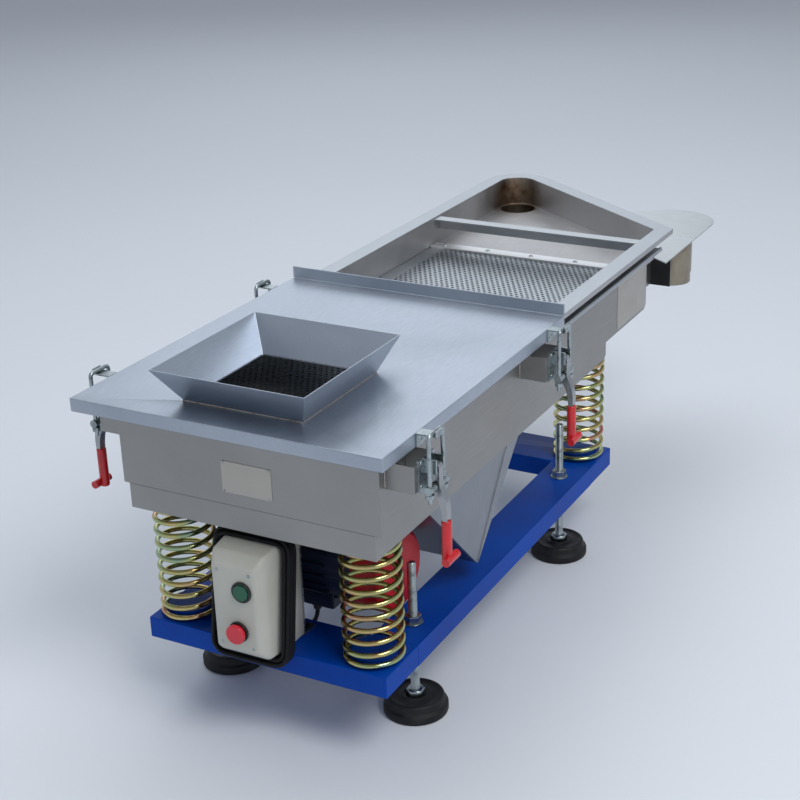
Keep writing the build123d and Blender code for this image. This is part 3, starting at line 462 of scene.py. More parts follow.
def spring_zinc():
    """Yellow zinc plate, which shifts between pink, gold and green."""
    look = Look("spring_zinc", (0.6, 0.55, 0.2), metallic=1.0, roughness=0.22)
    pink, gold = (0.55, 0.26, 0.20), (0.60, 0.46, 0.20)
    olive, green = (0.46, 0.48, 0.20), (0.32, 0.44, 0.30)
    hue = look.noise(16, detail=2, distortion=0.5)
    look.colour(look.ramp(hue, [(0.30, pink), (0.42, gold), (0.55, olive), (0.68, green)]))
    return look.roughness(look.spread(look.noise(25), 0.16, 0.26))


def foot_rubber():
    """Black rubber with a little dust on it."""
    look = Look("foot_rubber", (0.010, 0.010, 0.011), roughness=0.55).value("Specular IOR Level", 0.3)
    dust = look.noise(45, detail=6)
    look.colour(look.ramp(dust, [(0.45, (0.006, 0.006, 0.007)), (0.8, (0.022, 0.022, 0.024))]))
    return look.roughness(look.spread(dust, 0.42, 0.68)).bump(look.noise(800, detail=3), 0.0002)


def cord_rubber():
    look = Look("cord_rubber", (0.005, 0.005, 0.006), roughness=0.5).value("Specular IOR Level", 0.2)
    look.bump(look.noise(900, detail=3), 0.0001)
    return look.roughness(look.spread(look.noise(60), 0.44, 0.58))


def gasket_rubber():
    look = Look("gasket_rubber", (0.02, 0.02, 0.02), roughness=0.7)
    return look.bump(look.noise(500), 0.0002)


def black_plastic():
    look = Look("black_plastic", (0.012, 0.012, 0.012), roughness=0.38)
    return look.bump(look.noise(1400, detail=2), 0.00006)


def shell_plastic():
    """The switch box's pale grey moulding, with a fine grain."""
    look = Look("shell_plastic", (0.56, 0.56, 0.52), roughness=0.42)
    tones = [(0.3, (0.44, 0.44, 0.39)), (0.7, (0.52, 0.52, 0.47))]
    look.colour(look.ramp(look.noise(9, detail=4), tones))
    return look.bump(look.noise(1300, detail=3), 0.00010)


def green_plastic():
    look = Look("green_plastic", (0.008, 0.10, 0.05), roughness=0.3)
    return look.bump(look.noise(500), 0.00004)


def stop_plastic():
    look = Look("stop_plastic", (0.62, 0.012, 0.03), roughness=0.28).value("Coat Weight", 0.3)
    return look.bump(look.noise(400), 0.00004)


def grip_red():
    look = Look("grip_red", (0.55, 0.004, 0.008), roughness=0.30).value("Coat Weight", 0.4)
    shades = [(0.3, (0.46, 0.003, 0.006)), (0.7, (0.62, 0.006, 0.010))]
    look.colour(look.ramp(look.noise(60, detail=3), shades))
    return look.bump(look.noise(420, detail=2), 0.00010)


def weld_metal():
    """Weld metal with the brown and blue tints that heat leaves."""
    look = Look("weld_bead", (0.34, 0.31, 0.28), metallic=1.0, roughness=0.34)
    tints = [(0.3, (0.22, 0.16, 0.12)), (0.5, (0.42, 0.38, 0.34)), (0.75, (0.30, 0.30, 0.36))]
    return look.colour(look.ramp(look.noise(120, detail=3), tints))


def plate_metal():
    look = Look("plate_metal", (0.45, 0.42, 0.38), metallic=1.0, roughness=0.34)
    look.bump(look.noise(1.0, detail=2, stretch=BRUSH_PLATE), 0.00003)
    return look.roughness(look.spread(look.noise(30), 0.28, 0.42))


def floor_paint():
    look = Look("floor_paint", (0.64, 0.68, 0.74), roughness=0.8)
    tones = [(0.3, (0.68, 0.72, 0.78)), (0.7, (0.70, 0.74, 0.80))]
    return look.colour(look.ramp(look.noise(0.6, detail=4), tones))


STEELS = (
    cover_steel, side_steel, rim_steel, mount_steel, wing_painted_shade, bar_steel, clamp_steel, lid_steel,
    pipe_steel, tray_steel, zinc, satin_steel, spring_zinc, weld_metal, plate_metal,
)
PAINTS = (blue_paint, motor_blue, motor_red, floor_paint)
PLASTICS = (black_plastic, shell_plastic, green_plastic, stop_plastic, grip_red)
RUBBERS = (foot_rubber, cord_rubber, gasket_rubber)
LOOKS = [make() for make in STEELS + PAINTS + PLASTICS + RUBBERS]
MATERIALS = {look.name: look.material for look in LOOKS}
BODY_OF = {node: body for body, nodes in frame["record"]["behaviour"]["bodies"].items() for node in nodes}


# Building pieces


def finish_piece(name, bm, materials, body=None, node=None, smooth_angle=35):
    """Turns a bmesh into a piece with sharp creases, which may ride a body and stand for a CAD node."""
    mesh = bpy.data.meshes.new(name)
    for face in bm.faces:
        face.smooth = True
    limit = math.radians(smooth_angle)
    for edge in bm.edges:
        edge.smooth = len(edge.link_faces) == 2 and edge.calc_face_angle(0) < limit
    bm.to_mesh(mesh)
    bm.free()
    for material in materials if isinstance(materials, list) else [materials]:
        mesh.materials.append(MATERIALS[material])
    piece = bpy.data.objects.new(name, mesh)
    bpy.context.scene.collection.objects.link(piece)
    if node:
        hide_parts(node)
    if body:
        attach(piece, body)
    return piece


def add_bevel(piece, width, segments=2, angle=35):
    """Rounds a piece's sharp edges."""
    bevel = piece.modifiers.new("edges", "BEVEL")
    bevel.width = width
    bevel.segments = segments
    bevel.limit_method = "ANGLE"
    bevel.angle_limit = math.radians(angle)
    bevel.harden_normals = True
    bevel.miter_outer = "MITER_ARC"


def welded_copy(node, join_flats):
    """A CAD node's mesh with its seams closed, and its flat faces made whole where that is wished."""
    bm = bmesh.new()
    bm.from_mesh(frame["nodes"][node].data)
    bmesh.ops.remove_doubles(bm, verts=bm.verts, dist=1e-6)
    if join_flats:
        bmesh.ops.dissolve_limit(
            bm, angle_limit=math.radians(0.6), verts=bm.verts, edges=bm.edges, use_dissolve_boundaries=False
        )
    bmesh.ops.recalc_face_normals(bm, faces=bm.faces)
    return bm


def dress(node, materials, bevel, segments=2, change=None, join_flats=True):
    """A copy of a CAD node with clean shading, rounded edges and its material, changed where wished."""
    bm = welded_copy(node, join_flats)
    if change:
        change(bm)
    piece = finish_piece(node + "_look", bm, materials, BODY_OF[node], node)
    add_bevel(piece, bevel, segments)
    return piece


def islands(bm):
    """The separate parts of a mesh, each as a set of points."""
    left = set(bm.verts)
    while left:
        stack = [left.pop()]
        found = set(stack)
        while stack:
            for edge in stack.pop().link_edges:
                for vert in edge.verts:
                    if vert in left:
                        left.discard(vert)
                        found.add(vert)
                        stack.append(vert)
        yield found


def slim_island(island, share):
    """Draws an island's points towards its middle along the machine, and returns that middle."""
    middle = (min(vert.co.x for vert in island) + max(vert.co.x for vert in island)) / 2
    for vert in island:
        vert.co.x = middle + (vert.co.x - middle) * share
    return middle


def slim_keepers(bm):
    """Makes each keeper narrower."""
    for island in islands(bm):
        slim_island(island, KEEPER_SLIM)


def bend_arm(bm):
    """Cuts a handle's straight arm across and bows it outwards between its boss and its grip."""
    arm = [vert for vert in bm.verts if vert.co.z > GRIP_TOP_Z]
    high = max(vert.co.z for vert in arm) - ARM_BOSS
    low = min(vert.co.z for vert in bm.verts if vert.co.z > GRIP_TOP_Z - GRIP_TOP_EDGE)
    for cut in range(1, ARM_CUTS):
        place = Vector((0, 0, high + (low - high) * cut / ARM_CUTS))
        geometry = bm.verts[:] + bm.edges[:] + bm.faces[:]
        bmesh.ops.bisect_plane(bm, geom=geometry, plane_co=place, plane_no=(0, 0, 1))
    side = 1 if arm[0].co.y > 0 else -1
    for vert in bm.verts:
        if low < vert.co.z < high:
            vert.co.y += side * ARM_BEND * math.sin(math.pi * (high - vert.co.z) / (high - low))


def shape_handle(bm):
    """A narrower, bowed arm, and a slim grip in the second material with its cross end left as wide."""
    bend_arm(bm)
    for island in list(islands(bm)):
        top = max(vert.co.z for vert in island)
        if top > GRIP_TOP_Z:
            slim_island(island, ARM_SLIM)
            continue
        middle_x = slim_island(island, 1.0)
        rim = [vert.co.y for vert in island if vert.co.z > top - GRIP_RIM]
        middle_y = (min(rim) + max(rim)) / 2
        for vert in island:
            across = Vector((vert.co.x - middle_x, vert.co.y - middle_y, 0))
            if across.length < GRIP_REACH:
                vert.co -= across * (1 - GRIP_SLIM)
            for face in vert.link_faces:
                face.material_index = 1


def choose_chute(bm):
    """Gives the chute at the outlet end the second material, and the wing plate before it the third, which
    is painted shade.
    """
    for face in bm.faces:
        middle = face.calc_center_median()
        if middle.x > at(CHUTE_X, 0, 0).x:
            face.material_index = 1
        elif middle.x > at(WING_X, 0, 0).x and middle.y < WING_Y and abs(face.normal.x) > 0.9:
            face.material_index = 2


def choose_rim(bm):
    """Gives the upper tray's rim the second material."""
    for face in bm.faces:
        if face.normal.z > 0.9 and face.calc_center_median().z > RIM_Z - RIM_DEPTH:
            face.material_index = 1


def ring_of(bm, centre, across, other, radius, count):
    """A ring of points about a centre, in the plane of two directions."""
    ring = []
    for step in range(count):
        angle = 2 * math.pi * step / count
        ring.append(bm.verts.new(centre + (across * math.cos(angle) + other * math.sin(angle)) * radius))
    return ring


def join_rings(bm, rings):
    """Lays faces between each ring and the next."""
    for low, high in zip(rings, rings[1:]):
        for index in range(len(low)):
            after = (index + 1) % len(low)
            bm.faces.new((low[index], low[after], high[after], high[index]))


def join_and_cap(bm, rings):
    """Lays faces between the rings and over both ends."""
    join_rings(bm, rings)
    bm.faces.new(rings[0])
    bm.faces.new(rings[-1])


def in_metres(profile):
    return [(radius * MM, along * MM) for radius, along in profile]


def lathe(bm, centre, profile, segments, axis=Vector((0, 0, 1))):
    """Revolves (radius, along) points about an axis through a centre."""
    across, other = [line for line in Matrix.Identity(3) if line.dot(axis) == 0]
    rings = []
    for radius, along in profile:
        rings.append(ring_of(bm, centre + axis * along, across, other, radius, segments))
    join_and_cap(bm, rings)


def tube(bm, points, radius, sides):
    """A round tube along points, with its frame carried from one point to the next."""
    last = len(points) - 1
    rings = []
    normal = None
    for index, point in enumerate(points):
        direction = (points[min(index + 1, last)] - points[max(index - 1, 0)]).normalized()
        if normal is None:
            normal = direction.orthogonal().normalized()
        normal = (normal - direction * normal.dot(direction)).normalized()
        rings.append(ring_of(bm, point, normal, direction.cross(normal), radius, sides))
    join_and_cap(bm, rings)
    return rings


def dome(bm, centre, normal, radius, height, sides=14):
    """A low domed head, such as a rivet's, standing on a surface."""
    across = normal.orthogonal().normalized()
    other = normal.cross(across)
    rings = []
    for share in (0.0, 0.45, 0.8):
        size = radius * math.sqrt(1 - share**2)
        rings.append(ring_of(bm, centre + normal * height * share, across, other, size, sides))
    join_rings(bm, rings)
    top = bm.verts.new(centre + normal * height)
    for step in range(sides):
        bm.faces.new((rings[-1][step], rings[-1][(step + 1) % sides], top))


def weld_bead(name, lines, radius, body):
    """Welded seams as rippled beads along straight lines."""
    bm = bmesh.new()
    for start, end in lines:
        length = (end - start).length
        steps = max(6, int(length / (2.2 * MM)))
        points = [start.lerp(end, step / steps) for step in range(steps + 1)]
        rings = tube(bm, points, radius, sides=8)
        for index, ring in enumerate(rings):
            middle = points[index]
            swell = 1 + 0.22 * math.sin(index * 1.9) + 0.08 * math.sin(index * 0.7)
            for vert in ring:
                vert.co = middle + (vert.co - middle) * swell
    finish_piece(name, bm, "weld_bead", body)


def rounded_prism(bm, centre, sections, corner, steps=5):
    """Joins rounded rectangles about a centre, given as (x, half width, half height), into one skin."""
    rings = []
    for x, half_y, half_z in sections:
        ring = []
        for quarter, (side_y, side_z) in enumerate(((1, 1), (-1, 1), (-1, -1), (1, -1))):
            for step in range(steps + 1):
                angle = math.pi / 2 * (quarter + step / steps)
                y = centre.y + side_y * (half_y - corner) + corner * math.cos(angle)
                z = centre.z + side_z * (half_z - corner) + corner * math.sin(angle)
                ring.append(bm.verts.new((x, y, z)))
        rings.append(ring)
    join_and_cap(bm, rings)


# The machine


def screen_hole(bm, middle, top, bottom):
    """One hexagonal cell of the screen, with the wall of its round hole."""
    corner = HOLE_PITCH / math.sqrt(3)
    outer, inner, under = [], [], []
    for step in range(HOLE_SIDES):
        angle = 2 * math.pi * step / HOLE_SIDES
        reach = corner if step % 2 == 0 else corner * math.cos(math.pi / 6)
        direction = Vector((math.cos(angle), math.sin(angle)))
        edge = middle + direction * reach
        rim = middle + direction * HOLE_RADIUS
        outer.append(bm.verts.new((edge.x, edge.y, top)))
        inner.append(bm.verts.new((rim.x, rim.y, top)))
        under.append(bm.verts.new((rim.x, rim.y, bottom)))
    join_rings(bm, [outer, inner, under])


def screen_border(bm, low, high, start, end):
    """Four plain strips between the field of holes, which runs from start to end, and the plate's edge."""
    over_x = HOLE_PITCH / math.sqrt(3) * BORDER_SHARE_X
    over_y = HOLE_PITCH * BORDER_SHARE_Y
    strips = (
        ((low.x, high.x), (low.y, start.y + over_y)),
        ((low.x, high.x), (end.y - over_y, high.y)),
        ((low.x, start.x - over_x), (low.y, high.y)),
        ((end.x + over_x, high.x), (low.y, high.y)),
    )
    for limits_x, limits_y in strips:
        corners = rectangle(limits_x, limits_y)
        bm.faces.new([bm.verts.new((x, y, high.z - BORDER_DROP)) for x, y in corners])


def build_screen():
    """The perforated plate: staggered round holes in hexagonal cells, with a plain border."""
    low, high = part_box("screen_plate")
    step_x = HOLE_PITCH * math.sqrt(3) / 2
    columns = int((high.x - low.x - 2 * SCREEN_EDGE) / step_x)
    rows = int((high.y - low.y - 2 * SCREEN_EDGE) / HOLE_PITCH)
    field = Vector((columns * step_x, rows * HOLE_PITCH))
    start = Vector(((low.x + high.x) / 2, (low.y + high.y) / 2)) - field / 2
    bm = bmesh.new()
    for column in range(columns + 1):
        odd = column % 2
        for row in range(rows + 1 - odd):
            place = start + Vector((column * step_x, (row + odd / 2) * HOLE_PITCH))
            screen_hole(bm, place, high.z, low.z)
    bmesh.ops.remove_doubles(bm, verts=bm.verts, dist=HOLE_PITCH / 40)
    screen_border(bm, low, high, start, start + field)
    finish_piece("screen", bm, "rim_steel", "tray", "screen_plate")


def spring_points(x, y):
    """The wire's middle line: closed turns at both ends, even turns between them, softly joined."""
    low = BASE_TOP_Z + SPRING_WIRE_RADIUS
    high = BED_UNDERSIDE_Z - SPRING_WIRE_RADIUS
    closed_rise = SPRING_CLOSED_TURNS * 2 * SPRING_WIRE_RADIUS * SPRING_CLOSED_SHARE
    turns = (high - low - 2 * closed_rise) / SPRING_PITCH + 2 * SPRING_CLOSED_TURNS
    steps = int(turns * SPRING_STEPS_PER_TURN)
    points = []
    for index in range(steps + 1):
        turn = turns * index / steps
        if turn < SPRING_CLOSED_TURNS:
            z = low + closed_rise * turn / SPRING_CLOSED_TURNS
        elif turn > turns - SPRING_CLOSED_TURNS:
            z = high - closed_rise * (turns - turn) / SPRING_CLOSED_TURNS
        else:
            z = low + closed_rise + (turn - SPRING_CLOSED_TURNS) * SPRING_PITCH
        angle = 2 * math.pi * turn + SPRING_START_ANGLE
        across, along = SPRING_RADIUS * math.cos(angle), SPRING_RADIUS * math.sin(angle)
        points.append(at(x, y, 0) + Vector((across, along, z)))
    for _ in range(SPRING_SMOOTHINGS):
        for index in range(1, len(points) - 1):
            points[index].z = (points[index - 1].z + points[index].z * 2 + points[index + 1].z) / 4
    return points


def build_spring(corner):
    """A coil spring between the base, which stands, and the tray, which moves."""
    x, y = SPRING_PLACES[corner]
    node = "spring_" + corner
    bm = bmesh.new()
    tube(bm, spring_points(x, y), SPRING_WIRE_RADIUS, sides=14)
    piece = finish_piece(node + "_wire", bm, "spring_zinc", node=node)
    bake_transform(piece)


def thread_profile():
    """The stud's outline from the hub to its tip, with each turn of the thread as a ring."""
    root = STUD_RADIUS - THREAD_DEPTH
    profile = [(0.001 * MM, HUB_TOP_Z), (root, HUB_TOP_Z)]
    for turn in range(int((STUD_TOP_Z - HUB_TOP_Z) / THREAD_PITCH) - 1):
        z = HUB_TOP_Z + turn * THREAD_PITCH
        for radius, share in ((root, 0.15), (STUD_RADIUS, 0.45), (STUD_RADIUS, 0.6), (root, 0.9)):
            profile.append((radius, z + share * THREAD_PITCH))
    profile += [(root, STUD_TOP_Z - STUD_TIP), (STUD_RADIUS - 2 * STUD_TIP, STUD_TOP_Z)]
    return profile + [(0.001 * MM, STUD_TOP_Z)]


def build_foot(corner):
    """A rubber pad with moulded ribs, its steel hub and a threaded stud."""
    body = "foot_" + corner
    centre = at(*FOOT_PLACES[corner], 0)
    bm = bmesh.new()
    lathe(bm, centre, in_metres(PAD_PROFILE), segments=72)
    finish_piece("foot_pad_" + corner, bm, "foot_rubber", body, body, smooth_angle=50)
    bm = bmesh.new()
    lathe(bm, centre, in_metres(HUB_PROFILE), segments=6)
    lathe(bm, centre, thread_profile(), segments=28)
    finish_piece("foot_stud_" + corner, bm, "zinc", body)


def switch_middle():
    """The switch box's middle and its half size."""
    low, high = (Vector(corner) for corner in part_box("switch_box_cover"))
    return (low + high) / 2, (high - low) / 2


def build_switch_cover():
    """The moulded front half, which narrows from its rim and has a broad chamfer round its face."""
    low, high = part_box("switch_box_cover")
    middle, half = switch_middle()
    slope = SWITCH_TAPER * SWITCH_TAPER_SHARE
    y, z = half.y - SWITCH_TAPER, half.z - SWITCH_TAPER
    sections = [
        (high.x - 0.6 * MM, half.y, half.z),
        (high.x - 1.2 * MM, half.y, half.z),
        (low.x + SWITCH_CHAMFER + 3 * MM, half.y - slope, half.z - slope),
        (low.x + SWITCH_CHAMFER - 1 * MM, y - 0.9 * MM, z - 1.6 * MM),
        (low.x + 3.0 * MM, y - 6.6 * MM, z - 12.6 * MM),
        (low.x + 0.9 * MM, y - 8.6 * MM, z - 15.4 * MM),
        (low.x, y - 11.4 * MM, z - 18.2 * MM),
    ]
    bm = bmesh.new()
    rounded_prism(bm, middle, sections, SWITCH_CORNER)
    finish_piece("switch_cover_shell", bm, "shell_plastic", "base", "switch_box_cover", 40)


def build_switch_back():
    """The moulded back half, set in where it meets the cover, so that a groove shows between them."""
    low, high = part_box("switch_box_back")
    middle, half = switch_middle()
    inset = SWITCH_BACK_INSET
    sections = [
        (low.x - 0.5 * MM, half.y - inset, half.z - inset),
        (low.x + 0.6 * MM, half.y - inset, half.z - inset),
        (low.x + 0.7 * MM, half.y - 0.2 * MM, half.z - 0.2 * MM),
        (high.x - 2 * MM, half.y, half.z),
        (high.x, half.y - inset, half.z - inset),
    ]
    bm = bmesh.new()
    rounded_prism(bm, middle, sections, SWITCH_CORNER)
    finish_piece("switch_back_shell", bm, "shell_plastic", "base", "switch_box_back", 40)


def build_switch_screws():
    """Four screw heads near the corners of the box's face."""
    low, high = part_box("switch_box_cover")
    middle, half = switch_middle()
    reach_y = half.y - SWITCH_TAPER - SWITCH_SCREW_INSET_Y
    reach_z = half.z - SWITCH_TAPER - SWITCH_SCREW_INSET_Z
    profile = in_metres(SWITCH_SCREW_PROFILE)
    bm = bmesh.new()
    for y in (middle.y + reach_y, middle.y - reach_y):
        for z in (middle.z + reach_z, middle.z - reach_z):
            lathe(bm, Vector((low.x, y, z)), profile, segments=18, axis=Vector((1, 0, 0)))
    finish_piece("switch_cover_screws", bm, "zinc", "base")


def coil_quarter(quarter, half_y, half_z, corner):
    """Two points on a straight side and three round the corner after it, going down on the left."""
    side_y, side_z = ((1, -1), (-1, -1), (-1, 1), (1, 1))[quarter]
    arc_y, arc_z = half_y - corner, half_z - corner
    if quarter % 2 == 0:
        run = arc_z * 0.8
        points = [(side_y * half_y, -side_z * run), (side_y * half_y, side_z * run)]
    else:
        run = arc_y * 0.5
        points = [(-side_y * run, side_z * half_z), (side_y * run, side_z * half_z)]
    reach = corner / math.cos(math.radians(15))
    for step in (15, 45, 75):
        angle = math.radians(-90 * quarter - step)
        points.append((side_y * arc_y + reach * math.cos(angle), side_z * arc_z + reach * math.sin(angle)))
    return points


def coil_points():
    """Three turns forward against the box, then three turns back over them."""
    points = []
    for index in range(2 * COIL_TURNS * COIL_POINTS_PER_TURN):
        passed = index / COIL_POINTS_PER_TURN
        forward = min(passed, 2 * COIL_TURNS - passed) / COIL_TURNS
        column = COIL_REAR_X + (COIL_FRONT_X - COIL_REAR_X) * forward
        layer = 2 * CORD_RADIUS / MM * min(1, max(0, (passed - COIL_TURNS + 0.1) / 0.2))
        quarter, part = divmod(index % COIL_POINTS_PER_TURN, 5)
        y, z = coil_quarter(quarter, COIL_HALF_Y + layer, COIL_HALF_Z + layer, COIL_CORNER + layer)[part]
        z += COIL_MIDDLE_Z
        points.append(at(column + COIL_LEAN * (z - COIL_LOW_Z), COIL_MIDDLE_Y + y, z))
    return points


def build_cord():
    """The supply cord: from its gland, six turns round the box in two layers, then to its plug."""
    points = [at(*point) for point in SUPPLY_TAIL]
    points += coil_points()[1:]
    points += [at(*point) for point in PLUG_CORD]
    piece = cord_curve("supply_cord", points)
    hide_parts("supply_cord_coil", "supply_cord_tail", "supply_cord_end")
    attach(piece, "base")
    plug = dress("supply_plug", "black_plastic", bevel=1.2 * MM, segments=3)


def cord_curve(name, points):
    """A round cord as a smooth curve that follows its control points."""
    curve = bpy.data.curves.new(name, "CURVE")
    curve.dimensions = "3D"
    curve.bevel_depth = CORD_RADIUS
    curve.bevel_resolution = 4
    curve.use_fill_caps = True
    curve.resolution_u = 8
    spline = curve.splines.new("NURBS")
    spline.points.add(len(points) - 1)
    for target, point in zip(spline.points, points):
        target.co = (*point, 1)
    spline.order_u = 3
    spline.use_endpoint_u = True
    curve.materials.append(MATERIALS["cord_rubber"])
    piece = bpy.data.objects.new(name, curve)
    bpy.context.scene.collection.objects.link(piece)
    return piece


def build_motor_cable():
    """The cable from the box to the motor, which ends inside the motor's gland."""
    piece = cord_curve("motor_cable_line", [at(*point) for point in MOTOR_CABLE])
    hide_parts("motor_cable")
    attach(piece, "base")


def build_motor_gland():
    """The gland by which the cable enters the motor's terminal box."""
    end = at(*MOTOR_CABLE[-1][:2], TERMINAL_BOX_LOW_Z)
    bm = bmesh.new()
    lathe(bm, end, in_metres(GLAND_NUT_PROFILE), segments=6)
    lathe(bm, end, in_metres(GLAND_BODY_PROFILE), segments=32)
    finish_piece("motor_gland", bm, "black_plastic", "tray")


def nameplate(name, corners, normal):
    """A bare plate that stands on a wall, with a rivet near each corner."""
    outward = normal * PLATE_THICKNESS
    bm = bmesh.new()
    back = [bm.verts.new(corner) for corner in corners]
    front = [bm.verts.new(corner + outward) for corner in corners]
    bm.faces.new(front)
    join_rings(bm, [back, front])
    bmesh.ops.recalc_face_normals(bm, faces=bm.faces)
    add_bevel(finish_piece(name, bm, "plate_metal", "tray"), PLATE_EDGE)
    middle = sum(corners, Vector()) / 4
    bm = bmesh.new()
    for corner in corners:
        dome(bm, corner.lerp(middle, PLATE_RIVET_SHARE) + outward, normal, *PLATE_RIVET)
    finish_piece(name + "_rivets", bm, "zinc", "tray")


def build_nameplates():
    """One plate on the trays' front wall and one on their right wall."""
    corners = [at(FRONT_PLATE_X, y, z) for y, z in rectangle(FRONT_PLATE_Y, FRONT_PLATE_Z)]
    nameplate("plate_front", corners, Vector((-1, 0, 0)))
    corners = [at(x, SIDE_PLATE_Y, z) for x, z in rectangle(SIDE_PLATE_X, SIDE_PLATE_Z)]
    nameplate("plate_side", corners, Vector((0, -1, 0)))


def build_latch_screws():
    """Pan heads on the latch plates and rivets on the keepers."""
    bm = bmesh.new()
    for latch_x in LATCH_X.values():
        for side in (1, -1):
            outward = Vector((0, side, 0))
            for x in (latch_x - LATCH_SCREW_REACH, latch_x + LATCH_SCREW_REACH):
                for z in LATCH_SCREW_Z:
                    dome(bm, at(x, side * LATCH_FACE_Y, z), outward, *PAN_HEAD)
            for x in (latch_x - KEEPER_RIVET_REACH, latch_x + KEEPER_RIVET_REACH):
                dome(bm, at(x, side * KEEPER_FACE_Y, KEEPER_RIVET_Z), outward, *KEEPER_RIVET)
    finish_piece("latch_screws", bm, "zinc", "tray")


def build_weld_seams():
    """Beads round the hopper's foot, and where the latch brackets meet the wall."""
    foot = [at(x, y, HOPPER_FOOT_Z) for x, y in rectangle(HOPPER_FOOT_X, HOPPER_FOOT_Y)]
    weld_bead("hopper_foot_weld", zip(foot, foot[1:] + foot[:1]), HOPPER_WELD_RADIUS, "tray")
    low_z, high_z = BRACKET_SEAM_Z
    seams = []
    for latch_x in LATCH_X.values():
        for y in (BRACKET_SEAM_Y, -BRACKET_SEAM_Y):
            for x in (latch_x - BRACKET_REACH, latch_x + BRACKET_REACH):
                seams.append((at(x, y, low_z), at(x, y, high_z)))
    weld_bead("bracket_welds", seams, BRACKET_WELD_RADIUS, "tray")


def build_screen_screws():
    """Screw heads along the bar that clamps the screen."""
    bm = bmesh.new()
    for y in CLAMP_SCREW_Y:
        dome(bm, at(CLAMP_SCREW_X, y, CLAMP_TOP_Z), Vector((0, 0, 1)), *CLAMP_SCREW, sides=6)
    finish_piece("clamp_bar_screws", bm, "zinc", "tray")


def dress_base():
    """The painted frame and the nuts on its studs."""
    for node in ("base_rail_left", "base_rail_right", "base_cross_front", "base_cross_rear"):
        dress(node, "blue_paint", bevel=1.6 * MM, segments=3)
    dress("foot_nuts", "zinc", bevel=0.8 * MM)


def dress_trays():
    """The bed, both trays and their outlets, and the bars across them."""
    dress("bed_frame", "side_steel", bevel=1.2 * MM, segments=3)
    # The lower tray's third material paints shade onto the wing plate before the chute.
    dress("lower_tray", ["side_steel", "pipe_steel", "wing_painted_shade"], bevel=0.6 * MM, change=choose_chute)
    dress("tray_rails", "rim_steel", bevel=0.3 * MM)
    dress("lower_outlet_pipe", "pipe_steel", bevel=0.3 * MM)
    dress("lower_outlet_lid", "lid_steel", bevel=0.4 * MM)
    dress("upper_tray", ["tray_steel", "rim_steel"], bevel=0.8 * MM, change=choose_rim)
    dress("upper_outlet_pipe", "pipe_steel", bevel=0.3 * MM)
    dress("screen_clamp_bar", "clamp_steel", bevel=0.5 * MM)
    dress("tray_cross_bar", "bar_steel", bevel=0.9 * MM)


def dress_cover():
    dress("cover_gasket", "gasket_rubber", bevel=0.5 * MM)
    dress("cover", "cover_steel", bevel=1.3 * MM, segments=3, join_flats=False)
    dress("feed_hopper", "cover_steel", bevel=0.7 * MM, join_flats=False)


def dress_latch_seats():
    """What the latches are fixed to and hook on to."""
    dress("latch_brackets", "side_steel", bevel=0.6 * MM)
    dress("latch_plates", "zinc", bevel=0.5 * MM)
    dress("latch_keepers", "zinc", bevel=0.5 * MM, change=slim_keepers)


def dress_motor():
    """The motor with its mount, its rotor and its red end covers."""
    dress("motor_mount_plate", "mount_steel", bevel=0.6 * MM)
    dress("motor_mount_sides", "mount_steel", bevel=0.6 * MM)
    dress("motor_body", "motor_blue", bevel=0.8 * MM)
    dress("motor_bearings", "satin_steel", bevel=0.4 * MM)
    dress("motor_shaft", "satin_steel", bevel=0.4 * MM)
    dress("eccentric_weights", "satin_steel", bevel=0.6 * MM)
    dress("motor_end_cover_left", "motor_red", bevel=1.5 * MM, segments=3)
    dress("motor_end_cover_right", "motor_red", bevel=1.5 * MM, segments=3)
    dress("motor_terminal_box", "motor_blue", bevel=1.0 * MM)


def dress_switch_box():
    """The box's bracket, buttons and glands. Its two halves are built anew."""
    dress("switch_bracket", "zinc", bevel=0.5 * MM)
    dress("button_bezels", "black_plastic", bevel=0.8 * MM, segments=3)
    dress("start_button", "green_plastic", bevel=0.9 * MM, segments=3)
    dress("stop_button", "stop_plastic", bevel=0.8 * MM, segments=3)
    dress("cord_glands", "black_plastic", bevel=0.8 * MM)


def dress_latches():
    """The handles, with their red grips, and the draw bolts."""
    for corner in ("front_left", "front_right", "rear_left", "rear_right"):
        dress("latch_handle_" + corner, ["satin_steel", "grip_red"], bevel=0.8 * MM, change=shape_handle)
        dress("draw_bolt_" + corner, "zinc", bevel=0.3 * MM)


# Stage, light and camera


def build_stage():
    """A plain pale floor."""
    bm = bmesh.new()
    limits = (-FLOOR_REACH, FLOOR_REACH)
    bm.faces.new([bm.verts.new((x, y, 0)) for x, y in rectangle(limits, limits)])
    mesh = bpy.data.meshes.new("floor")
    bm.to_mesh(mesh)
    bm.free()
    mesh.materials.append(MATERIALS["floor_paint"])
    floor = bpy.data.objects.new("floor", mesh)
    bpy.context.scene.collection.objects.link(floor)


def area_light(name, place, target, width, height, power, colour):
    """A soft rectangular lamp that faces a place."""
    light = bpy.data.lights.new(name, "AREA")
    light.shape = "RECTANGLE"
    light.size = width
    light.size_y = height
    light.energy = power
    light.color = colour
    lamp = bpy.data.objects.new(name, light)
    lamp.location = place
    lamp.rotation_euler = (Vector(target) - Vector(place)).to_track_quat("-Z", "Y").to_euler()
    bpy.context.scene.collection.objects.link(lamp)


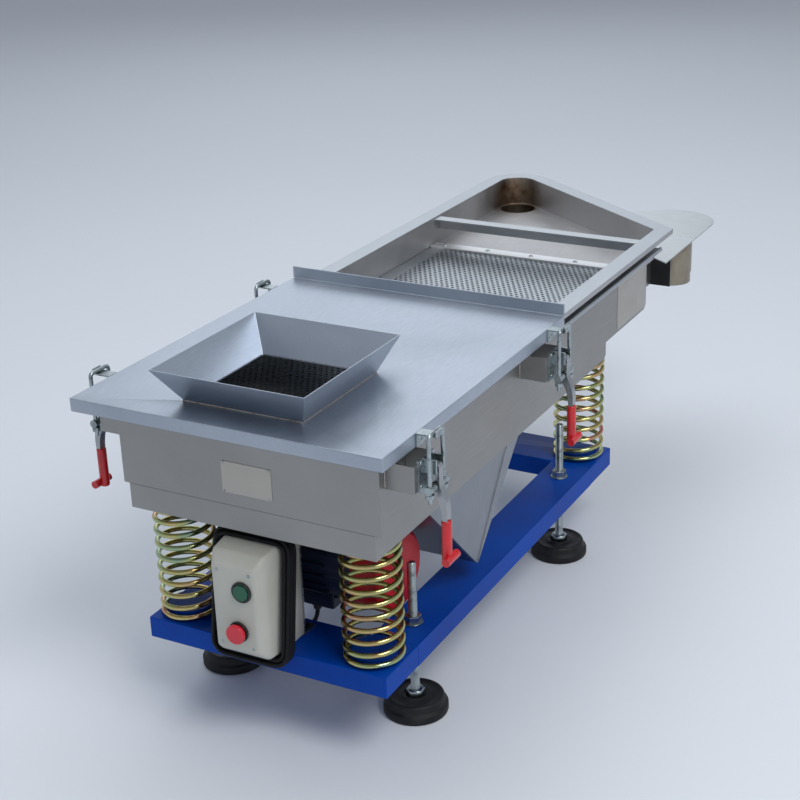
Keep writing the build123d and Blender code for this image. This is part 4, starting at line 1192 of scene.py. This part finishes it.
def build_world():
    """A soft surround, bright near the ground and darker above."""
    world = bpy.data.worlds.new("studio")
    world.use_nodes = True
    nodes, links = world.node_tree.nodes, world.node_tree.links
    split = nodes.new("ShaderNodeSeparateXYZ")
    sky = nodes.new("ShaderNodeValToRGB")
    for element, (height, colour) in zip(sky.color_ramp.elements, SKY_TONES):
        element.position = height
        element.color = (*colour, 1)
    links.new(nodes.new("ShaderNodeTexCoord").outputs["Generated"], split.inputs["Vector"])
    links.new(split.outputs["Z"], sky.inputs["Fac"])
    links.new(sky.outputs["Color"], nodes["Background"].inputs["Color"])
    nodes["Background"].inputs["Strength"].default_value = SKY_STRENGTH
    bpy.context.scene.world = world


def build_lights():
    """A key light from the front right, a broad one from above and a faint one from behind."""
    area_light("key", (-1.6, -2.8, 4.0), (0, 0, 0.35), 2.2, 2.2, 120, (1.0, 0.98, 0.95))
    area_light("top", (0.6, 0.8, 4.2), (0, 0, 0.4), 4.0, 3.2, 75, (0.94, 0.97, 1.0))
    area_light("back", (4.6, 2.6, 3.0), (0, 0, 0.45), 3.4, 2.2, 24, (0.90, 0.95, 1.0))


def build_camera():
    """The camera at the photo's angle."""
    data = bpy.data.cameras.new("photo_view")
    data.lens = CAMERA_LENS
    data.sensor_width = CAMERA_SENSOR
    data.shift_x, data.shift_y = CAMERA_SHIFT
    data.clip_end = CAMERA_FAR
    camera = bpy.data.objects.new("photo_view", data)
    axes = Matrix((CAMERA_RIGHT, -CAMERA_DOWN, -CAMERA_FORWARD)).transposed()
    camera.matrix_world = Matrix.Translation(CAMERA_PLACE) @ axes.to_4x4()
    bpy.context.scene.collection.objects.link(camera)
    bpy.context.scene.camera = camera


build_camera()
build_world()
build_lights()
build_stage()
dress_base()
dress_trays()
dress_cover()
dress_latch_seats()
dress_motor()
dress_switch_box()
dress_latches()
build_screen()
for corner in SPRING_PLACES:
    build_spring(corner)
    build_foot(corner)
build_switch_cover()
build_switch_back()
build_switch_screws()
build_cord()
build_motor_cable()
build_motor_gland()
build_nameplates()
build_latch_screws()
build_weld_seams()
build_screen_screws()

bpy.context.scene.view_settings.view_transform = "Standard"
